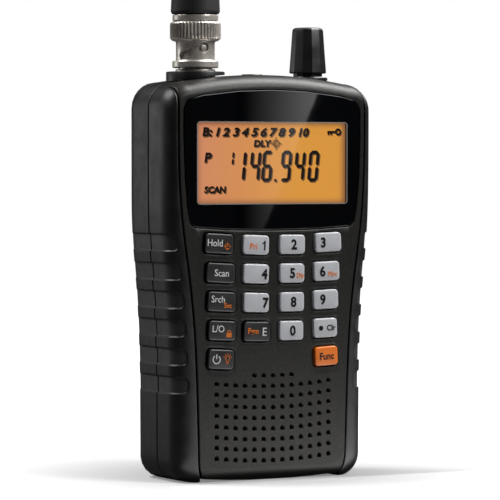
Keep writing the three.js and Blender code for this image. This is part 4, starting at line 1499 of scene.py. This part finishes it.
def key_legends(name):
    """The two colours of marks on a key, about its centre: first legend, second legend."""
    keys = settings("keys")
    y = KEY_FACE - 0.005
    first, second = [], []
    if name in WORDS:
        text, dx, dz, share, weight, squeeze = WORDS[name]
        first.append(glyphs(text, keys.legend / MM * share, dx, dz, y, weight, squeeze=squeeze))
    if name in NUMERALS:
        first.append(glyphs(name, keys.numeral / MM, NUMERALS[name], 0, y, 0.16, squeeze=0.95))
    if name in SECOND:
        text, dx, dz, share, squeeze = SECOND[name]
        second.append(glyphs(text, keys.mark / MM * share, dx, dz, y, 0.05, squeeze=squeeze))
    if name == "1":
        first.append(flagged_one(2.6, -0.1, y, keys.numeral / MM))
    elif name == "hold":
        second += rotate_marks(2.5, -0.65, y, 0.95)
    elif name == "lo":
        second += lock_marks(2.1, -0.7, y, 1.12)
    elif name == "clear":
        first.append(flat_shape(disc_outline(-1.55, 0, 0.72), y))
    elif name == "power":
        first += power_marks(-1.6, -0.1, y, 1.2)
        second += bulb_marks(1.9, 0.0, y, 1.05)
    return first, second


def upright(parts, x, z, tilt):
    """Marks moved onto a key and turned with it."""
    out = []
    for verts, faces in parts:
        plan = turned([(v[0], v[2]) for v in verts], tilt)
        out.append(([(x + px, v[1], z + pz) for (px, pz), v in zip(plan, verts)], faces))
    return out


def build_keys():
    """The eighteen keys with their legends, and a painted highlight round the edge of each dark key."""
    finish = settings("finish")
    grey = stock("key_grey", moulded, finish.key_grey, rough=0.36, grain=0.3, depth=0.004,
                 spread=0.05)
    black = stock("key_black", moulded, finish.key_black, rough=0.4, grain=0.3, depth=0.006)
    orange = stock("key_orange", moulded, finish.key_orange, rough=0.38, grain=0.3, depth=0.004,
                   spread=0.06)
    ink = stock("ink_black", print_and_painted_light, (0.008, 0.008, 0.009))
    white = stock("ink_white", print_and_painted_light, (0.8, 0.8, 0.8))
    amber = stock("ink_orange", print_and_painted_light, (0.80, 0.20, 0.02))
    for name, (x, z, width, tilt) in KEYS.items():
        dark = name in BLACK_KEYS
        body = f"key_{name}_body"
        cap = body_mesh(f"cap_{name}", *tower(key_rings(x, z, width, tilt)), smooth=38)
        if name == "func":
            place(cap, body, orange, ["key_func"])
        else:
            place(cap, body, black if dark else grey,
                  [f"key_{name}"])
        first, second = key_legends(name)
        if first:
            marks(f"legend_{name}", upright(first, x, z, tilt), body, white if dark else ink)
        if second:
            marks(f"mark_{name}", upright(second, x, z, tilt), body, amber)
        if dark:
            # a grey ring on each dark key's face, just inside its rounded edge: a painted highlight of
            # that edge
            line = shifted(turned(rounded_rect(width, KEY_H, KEY_R), tilt), x, z)
            edge_highlight_band = ring_shape(grow(line, -0.34), grow(line, -0.48), KEY_FACE + 0.09, 0.06)
            ring = body_mesh(f"outline_{name}", *edge_highlight_band)
            place(ring, body, stock("outline_grey", print_and_painted_light, (0.075, 0.075, 0.08), rough=0.4))


# ---------- crown ----------
def knob_ring(radius, z, ease, facets):
    """A ring of flat facets round the volume shaft, with softened corners."""
    points = []
    for i in range(facets):
        a = math.radians(15 + 360 * i / facets)
        points.append((radius * math.cos(a), radius * math.sin(a)))
    return [(KNOB[0] + x, KNOB[1] + y, z) for x, y in eased(points, ease, 3)]


def build_crown():
    """The antenna seat, the earphone barrel, the squelch dial and the volume knob."""
    black = grip_finish()
    seat_profile = [(6, 111), (SEAT_R, 111), (SEAT_R, SEAT_TOP - 0.3),
                    (SEAT_R - 0.09, SEAT_TOP - 0.09), (SEAT_R - 0.3, SEAT_TOP), (6, SEAT_TOP)]
    seat = body_mesh("antenna_seat", *lathe(seat_profile, ANTENNA, 96, looped=True))
    # the seat is trimmed just above the arched top
    rings = []
    for k in range(-16, 17):
        y = BACK * k / 16
        arch = [(x, y, top_z(min(abs(x), half_width(y, 100)), y) + 0.3)
                for x in np.linspace(-36, 36, 73)]
        rings.append([(36, y, 100), (-36, y, 100)] + arch)
    cut(seat, tower(rings))
    place(seat, "case", black, ["top_plate"])

    r, rim = 3.1, 115.9
    barrel = [(r, 101.5), (r, rim - 0.25), (r - 0.25, rim), (2.1, rim), (1.8, rim - 0.35),
              (1.8, 103.2), (1.78, 103.2), (r - 0.5, 101.5)]
    jack = body_mesh("earphone_barrel", *lathe(barrel, EARPHONE, 48))
    place(jack, "case", black, ["earphone_jack"])

    knob_black = stock("knob_black", moulded, settings("finish").shell, rough=0.36)
    ring = eased([(2.2, 107), (3.4, 107), (3.4, 114.3), (5.75, 114.3, 0.2), (5.75, 115.2, 0.3),
                  (2.2, 115.2)], 0, 3)
    squelch = body_mesh("squelch_dial", *lathe(ring, KNOB, 72, looped=True))
    place(squelch, "squelch", knob_black, ["squelch_ring"])
    profile = ((2.2, 126.0), (2.2, 115.5), (4.35, 115.5), (4.35, 116.4), (5.3, 116.4),
               (5.55, 116.7), (5.5, 117.4), (5.05, 123.2), (4.66, 128.6), (4.5, 129.15),
               (4.15, 129.5), (3.4, 129.68), (2.0, 129.74), (0.6, 129.75))
    facets = settings("crown").knob_facets
    rings = [knob_ring(radius, z, 0.3 * radius / 5, facets) for radius, z in profile]
    knob = body_mesh("volume_knob_cap", *tower(rings), smooth=20)
    place(knob, "volume", knob_black, ["volume_knob"])


# ---------- antenna ----------
def knurled_ring(profile, teeth, depth, centre):
    """A turned body whose (radius, height, share) rows carry straight knurling by their share."""
    count = teeth * 6
    rings = []
    for radius, z, share in profile:
        ring = []
        for i in range(count):
            a = 2 * math.pi * i / count
            t = (i % 6) / 6
            reach = radius - depth * share * (1 - abs(2 * t - 1)) ** 0.8
            ring.append((centre[0] + reach * math.cos(a), centre[1] + reach * math.sin(a), z))
        rings.append(ring)
    return rings


def round_antenna(shape, height, angle):
    """A (verts, faces) body turned about the antenna's axis and moved to a height."""
    turn = Matrix.Rotation(angle, 3, "Z")
    shift = Vector((*ANTENNA, height))
    return [tuple(turn @ Vector(p) + shift) for p in shape[0]], shape[1]


def slot_rings(start, steps=14):
    """Rings of the cutter for one helical slot of the coupling."""
    rings = []
    for i in range(steps + 1):
        t = i / steps
        a = start - math.radians(SLOT_TURN) * t
        z = STUD_Z - SLOT_LIFT * t
        rings.append([(ANTENNA[0] + r * math.cos(a), ANTENNA[1] + r * math.sin(a), z + dz)
                      for r, dz in ((4.2, -1.2), (7.0, -1.2), (7.0, 1.2), (4.2, 1.2))])
    return rings


def build_antenna():
    """The antenna socket with its two studs, the knurled coupling, the plug and the whip."""
    plating = nickel()
    neck = eased([(4.1, 119.0), (4.1, 126.2), (4.8, 126.2, 0.2), (4.8, 117.1), (5.7, 117.1, 0.25),
                  (5.7, 114.2, 0.2), (4.8, 114.2), (4.8, 104), (1.2, 104), (1.2, 119),
                  (4.1, 119)], 0, 3)
    jack = body_mesh("antenna_socket", *lathe(neck[:-1], ANTENNA, 64, looped=True))
    for sign in (-1, 1):
        verts, faces = lathe_y([(0.95, 0), (0.95, 1.0), (0.8, 1.2), (0.4, 1.27)], (0, 0), 24)
        verts = [(ANTENNA[0] + x, ANTENNA[1] + sign * (4.1 + y), STUD_Z + z) for x, y, z in verts]
        cut(jack, (verts, faces), SMOOTH, "UNION")
    place(jack, "case", plating, ["antenna_jack"])

    rows = [(5.05, 117.5, 0), (6.35, 117.5, 0), (6.6, 117.72, 0), (6.6, 119.2, 0),
            (6.42, 119.45, 0), (5.75, 119.5, 0), (5.55, 119.7, 0), (5.55, 124.6, 0),
            (5.75, 125.0, 0), (6.5, 125.2, 0), (6.95, 125.55, 0), (7.2, 125.85, 0.5),
            (7.28, 126.1, 1), (7.28, 128.0, 1), (7.28, 129.9, 1), (7.2, 130.15, 0.5),
            (6.9, 130.45, 0), (6.5, 130.7, 0), (4.6, 130.7, 0), (4.6, 120.1, 0), (5.05, 119.9, 0)]
    rings = knurled_ring(rows, settings("crown").knurl_teeth, 0.42, ANTENNA)
    sleeve = body_mesh("coupling_sleeve_knurled", *tower(rings, looped=True), smooth=28)
    for half, side in ((0, -1), (math.pi, 1)):
        cut(sleeve, tower(slot_rings(-math.pi / 2 + half)), 28)
        verts, faces = lathe_y([(1.5, 4.2), (1.5, 7.0)], (0, 0), 32)
        verts = [(ANTENNA[0] + x, ANTENNA[1] + side * y, STUD_Z + z) for x, y, z in verts]
        cut(sleeve, (verts, faces), 28)
        end = -math.pi - math.radians(SLOT_TURN) + half
        slot_end = lathe_y([(1.2, 4.2), (1.2, 7.0)], (0, 0), 24)
        cut(sleeve, round_antenna(slot_end, STUD_Z - SLOT_LIFT, end), 28)
    place(sleeve, "sleeve", plating, ["coupling_sleeve"])

    collar = eased([(1.6, 120.0), (3.8, 120.0, 0.2), (3.8, 127.2), (4.3, 127.2), (4.3, 130.9),
                    (6.55, 130.9, 0.3), (6.55, 132.6, 0.3), (1.6, 132.6)], 0, 4)
    plug = body_mesh("antenna_plug", *lathe(collar, ANTENNA, 72, looped=True))
    place(plug, "antenna", plating, ["plug_body"])

    profile = eased([(0.4, 132.85), (6.7, 132.85, 0.4), (7.05, 133.6, 0.4), (6.6, 143, 4),
                     (4.9, 150.5, 6), (4.5, 190, 6), (3.95, 262, 3), (2.4, 264.45, 1.2),
                     (0.2, 264.5)], 0, 6, closed=False)
    whip = body_mesh("antenna_rod", *lathe(profile, ANTENNA, 64))
    whip_rubber = stock("whip_rubber", rubber, (0.018, 0.018, 0.019), rough=0.55)
    place(whip, "antenna", whip_rubber, ["antenna_whip"])


# ---------- rear pieces ----------
def build_battery_door():
    """The sliding battery door with its thumb ribs and arrow."""
    centre_z = (DOOR_Z0 + DOOR_Z1) / 2
    plan = shifted(rounded_rect(2 * DOOR_W, DOOR_Z1 - DOOR_Z0, 1.6), 0, centre_z)
    levels = [(14.3, 0), (15.55, 0), (15.8, -0.06), (15.93, -0.18), (16.0, -0.4)]
    face = body_mesh("battery_door_face", *stepped_plate(plan, levels), smooth=50)
    flange = block(-DOOR_FLANGE, DOOR_FLANGE, 14.3, 15.1, DOOR_Z0, DOOR_Z1)
    cut(face, flange, 50, "UNION")
    for i in range(6):
        rib = shifted(rounded_rect(13.5, 0.9, 0.42), 0, 11.2 + 2.0 * i)
        cut(face, plate(rib, 15.45, 17), 50)
    arrow = [(-2.6, 27.4), (0, 24.2), (2.6, 27.4), (1.7, 27.4), (0, 25.3), (-1.7, 27.4)]
    cut(face, plate(arrow, 15.75, 17), 50)
    place(face, "door", shell_finish(), ["battery_door"])


def spring_rings(turns=6, wire=0.28, coil=1.55, half=3.4):
    """Rings along the wire of the torsion spring wound round the clip's pin."""
    steps = 20  # along each turn
    rings = []
    for i in range(turns * steps + 1):
        a = 2 * math.pi * i / steps
        x = -half + 2 * half * i / (turns * steps)
        ring = []
        for b in [2 * math.pi * k / 8 for k in range(8)]:
            reach = coil + wire * math.cos(b)
            ring.append((x + wire * math.sin(b), PIN_Y + reach * math.cos(a),
                         PIN_Z + reach * math.sin(a)))
        rings.append(ring)
    return rings


def build_clip():
    """The belt clip: its bracket with two ears, the lever, the spring and the pin."""
    black = stock("clip_black", moulded, settings("finish").shell, rough=0.5)
    pin_hole = lathe_x([(PIN_BORE, -20), (PIN_BORE, 20)], (PIN_Y, PIN_Z))
    levels = [(16.3, 0), (17.9, 0), (18.15, -0.08), (18.3, -0.3)]
    plan = shifted(rounded_rect(22, 30, 2.6), 0, 91)
    pad = body_mesh("clip_bracket", *stepped_plate(plan, levels), smooth=50)
    ear = eased([(17.4, 86), (21.6, 88.4, 1.2), (23.6, 90.2, 1.5), (23.6, 93.8, 1.5),
                 (21.6, 95.6, 1.2), (17.4, 98)], 0.1, 5)
    for sides in ((-11, -8.6), (8.6, 11)):
        lug = body_mesh("ear", *tower([[(x, y, z) for y, z in ear] for x in sides]))
        bevel(lug, 0.25, 2, 60)
        carve(pad, lug, 50, "UNION")
    cut(pad, pin_hole, 50)
    for centre in CLIP_SCREWS.values():
        cut(pad, lathe_y([(1.5, 10), (1.5, 17.2), (2.6, 17.2), (2.6, 20)], centre), 50)
    place(pad, "case", black, ["clip_base"])

    side = [(23.2, 101), (24.8, 101.4), (25.2, 99), (24.2, 92), (24.2, 60), (23.4, 50),
            (21.6, 46.6), (20.2, 47.4), (19.6, 50), (21.0, 51.4), (22.2, 60), (22.2, 87.6),
            (20.4, 90.6), (20.4, 93.6), (22.4, 96)]
    outline = eased(side, 0.9, 5)
    ends = [[(x, y, z) for y, z in outline] for x in (-8.2, 8.2)]
    lever = body_mesh("belt_clip_lever", *tower(ends))
    bevel(lever, 0.45, 3, 60)
    cut(lever, pin_hole, 40)
    cut(lever, block(-4.6, 4.6, 18, 23.9, 89, 95), 40)
    for i in range(5):
        z = 93.6 + 1.35 * i
        y = 24.55 + 0.135 * (z - 93.6)
        cut(lever, lathe_x([(0.42, -6), (0.42, 6)], (y + 0.22, z), 16), 40)
    place(lever, "clip", black, ["clip_lever"])

    spring = body_mesh("clip_torsion_spring", *tower(spring_rings()), smooth=60)
    place(spring, "case", steel(), ["clip_spring"])
    pin_profile = [(0.8, -10.7), (PIN_R, -10.5), (PIN_R, 10.5), (0.8, 10.7)]
    pin = body_mesh("clip_hinge_pin", *lathe_x(pin_profile, (PIN_Y, PIN_Z)))
    place(pin, "case", steel(), ["clip_pin"])


def build_port_cover():
    """The rubber cover of the data port, with a nick for a fingernail."""
    y0, y1, z0, z1 = PORT
    cover = block(32.5, 33.46, y0 - 0.9, y1 + 0.9, z0 - 1.1, z1 + 1.1)
    outer = body_mesh("data_port_cover", *cover)
    bevel(outer, 0.18, 2, 50)
    cut(outer, block(33.2, 36, -0.9, 0.5, 91.2, 92.8))
    place(outer, "port_flap", shell_finish(), ["port_cover"])


def screw(name, x, z, y_tip, y_head, r_shank, r_head, node):
    """A cross-recessed screw seen from behind."""
    profile = [(0.3, y_tip), (r_shank * 0.8, y_tip), (r_shank, y_tip + 0.5),
               (r_shank, y_head - 1.4), (r_head, y_head - 1.3), (r_head, y_head - 0.5),
               (r_head - 0.15, y_head - 0.25), (r_head * 0.6, y_head - 0.04), (0.2, y_head)]
    obj = body_mesh(name, *lathe_y(profile, (x, z), 40))
    arm, half = r_head * 0.62, r_head * 0.13
    for w, h in ((arm, half), (half, arm)):
        cut(obj, block(x - w, x + w, y_head - 0.75, y_head + 1, z - h, z + h))
    return place(obj, "case", steel(), [node])


def build_fasteners():
    """The four housing screws and the two screws of the clip's bracket."""
    for name, (x, z) in CASE_SCREWS.items():
        screw(f"housing_screw_{name}", x, z, -10.4, 11.8, 1.2, 2.1, f"case_screw_{name}")
    for name, (x, z) in CLIP_SCREWS.items():
        screw(f"bracket_screw_{name}", x, z, 10.6, 18.75, 1.1, 2.15, f"clip_screw_{name}")


def finish_inside():
    """Finishes for the pieces inside the housing, which keep their own shapes."""
    dark = stock("inner_black", moulded, (0.02, 0.02, 0.021), rough=0.55)
    wrap = stock("cell_wrap", moulded, (0.30, 0.32, 0.35), rough=0.3, spread=0.1)
    finishes = {
        "lcd_frame": dark, "keypad_mat": stock("mat_rubber", rubber, (0.03, 0.03, 0.032)),
        "lcd_backlight": stock("backlight_acrylic", moulded, (0.7, 0.6, 0.45), rough=0.3),
        "speaker": dark, "speaker_cloth": stock("speaker_cloth", woven, (0.006, 0.006, 0.006)),
        "main_board": stock("board_green", circuit_board), "shield_can": steel(),
        "control_body": steel(), "volume_shaft": steel(), "usb_jack": steel(),
        "battery_contact_lower": nickel(),
        "battery_contact_left": nickel(), "battery_contact_right": nickel(),
        "battery_cell_a": wrap, "battery_cell_b": wrap,
        "battery_type_switch": stock("switch_grey", moulded, (0.4, 0.4, 0.41)),
    }
    for name, finish in finishes.items():
        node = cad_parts[name]
        node.data.materials.clear()
        node.data.materials.append(finish)


# ---------- operators ----------
class RECEIVER_OT_stage(bpy.types.Operator):
    """Sets the camera, the floor, the even light and the softboxes"""
    bl_idname = "receiver.stage"
    bl_label = "Stage"

    def execute(self, context):
        build_studio()
        return {"FINISHED"}


class RECEIVER_OT_front_panel(bpy.types.Operator):
    """Builds the charcoal front panel with its lens seat, key openings and speaker holes"""
    bl_idname = "receiver.front_panel"
    bl_label = "Front panel"

    def execute(self, context):
        build_front_panel()
        return {"FINISHED"}


class RECEIVER_OT_grips(bpy.types.Operator):
    """Builds the two black grips with their finger recesses"""
    bl_idname = "receiver.grips"
    bl_label = "Grips"

    def execute(self, context):
        build_grips()
        return {"FINISHED"}


class RECEIVER_OT_rear_cover(bpy.types.Operator):
    """Builds the rear shell with its battery bay, screw holes and port opening"""
    bl_idname = "receiver.rear_cover"
    bl_label = "Rear shell"

    def execute(self, context):
        build_rear_cover()
        return {"FINISHED"}


class RECEIVER_OT_display(bpy.types.Operator):
    """Builds the lens, the lit plate and what the display shows"""
    bl_idname = "receiver.display"
    bl_label = "Display"

    def execute(self, context):
        build_display()
        return {"FINISHED"}


class RECEIVER_OT_keypad(bpy.types.Operator):
    """Builds the eighteen keys with their legends"""
    bl_idname = "receiver.keypad"
    bl_label = "Keys"

    def execute(self, context):
        build_keys()
        return {"FINISHED"}


class RECEIVER_OT_crown(bpy.types.Operator):
    """Builds the antenna seat, the earphone barrel, the squelch dial and the volume knob"""
    bl_idname = "receiver.crown"
    bl_label = "Crown"

    def execute(self, context):
        build_crown()
        return {"FINISHED"}


class RECEIVER_OT_antenna(bpy.types.Operator):
    """Builds the antenna socket, its knurled coupling and the whip"""
    bl_idname = "receiver.antenna"
    bl_label = "Antenna"

    def execute(self, context):
        build_antenna()
        return {"FINISHED"}


class RECEIVER_OT_battery_door(bpy.types.Operator):
    """Builds the sliding battery door"""
    bl_idname = "receiver.battery_door"
    bl_label = "Battery door"

    def execute(self, context):
        build_battery_door()
        return {"FINISHED"}


class RECEIVER_OT_belt_clip(bpy.types.Operator):
    """Builds the belt clip with its bracket, spring and pin"""
    bl_idname = "receiver.belt_clip"
    bl_label = "Belt clip"

    def execute(self, context):
        build_clip()
        return {"FINISHED"}


class RECEIVER_OT_port_cover(bpy.types.Operator):
    """Builds the rubber cover of the data port"""
    bl_idname = "receiver.port_cover"
    bl_label = "Port cover"

    def execute(self, context):
        build_port_cover()
        return {"FINISHED"}


class RECEIVER_OT_fasteners(bpy.types.Operator):
    """Builds the housing and bracket screws"""
    bl_idname = "receiver.fasteners"
    bl_label = "Screws"

    def execute(self, context):
        build_fasteners()
        return {"FINISHED"}


class RECEIVER_OT_inside(bpy.types.Operator):
    """Gives the pieces inside the housing their finishes"""
    bl_idname = "receiver.inside"
    bl_label = "Inside finishes"

    def execute(self, context):
        finish_inside()
        return {"FINISHED"}


# in the order of building
OPERATORS = (
    RECEIVER_OT_stage, RECEIVER_OT_front_panel, RECEIVER_OT_grips, RECEIVER_OT_rear_cover,
    RECEIVER_OT_display, RECEIVER_OT_keypad, RECEIVER_OT_crown, RECEIVER_OT_antenna,
    RECEIVER_OT_battery_door, RECEIVER_OT_belt_clip, RECEIVER_OT_port_cover,
    RECEIVER_OT_fasteners, RECEIVER_OT_inside,
)
GROUPS = {
    "receiver_case": CaseSettings, "receiver_keys": KeySettings, "receiver_crown": CrownSettings,
    "receiver_finish": FinishSettings, "receiver_studio": StudioSettings,
}


class RECEIVER_PT_panel(bpy.types.Panel):
    """Settings and build steps of the receiver"""
    bl_idname = "RECEIVER_PT_panel"
    bl_label = "Handheld Receiver"
    bl_space_type = "VIEW_3D"
    bl_region_type = "UI"
    bl_category = "Receiver"

    def draw(self, context):
        """Lists the settings by group, then the build steps."""
        for group, cls in GROUPS.items():
            box = self.layout.box()
            box.label(text=cls.__doc__)
            for name in cls.__annotations__:
                box.prop(getattr(context.scene, group), name)
        column = self.layout.column(align=True)
        for cls in OPERATORS:
            column.operator(cls.bl_idname)


CLASSES = (*GROUPS.values(), *OPERATORS, RECEIVER_PT_panel)


def register():
    """Registers the classes and hangs the settings on the scene."""
    for cls in CLASSES:
        bpy.utils.register_class(cls)
    for name, cls in GROUPS.items():
        setattr(bpy.types.Scene, name, PointerProperty(type=cls))


def unregister():
    """Takes the settings off the scene and the classes out again."""
    for name in GROUPS:
        delattr(bpy.types.Scene, name)
    for cls in reversed(CLASSES):
        bpy.utils.unregister_class(cls)


def main():
    register()
    for cls in OPERATORS:
        getattr(bpy.ops.receiver, cls.bl_idname.split(".")[1])()


if __name__ == "__main__":
    main()
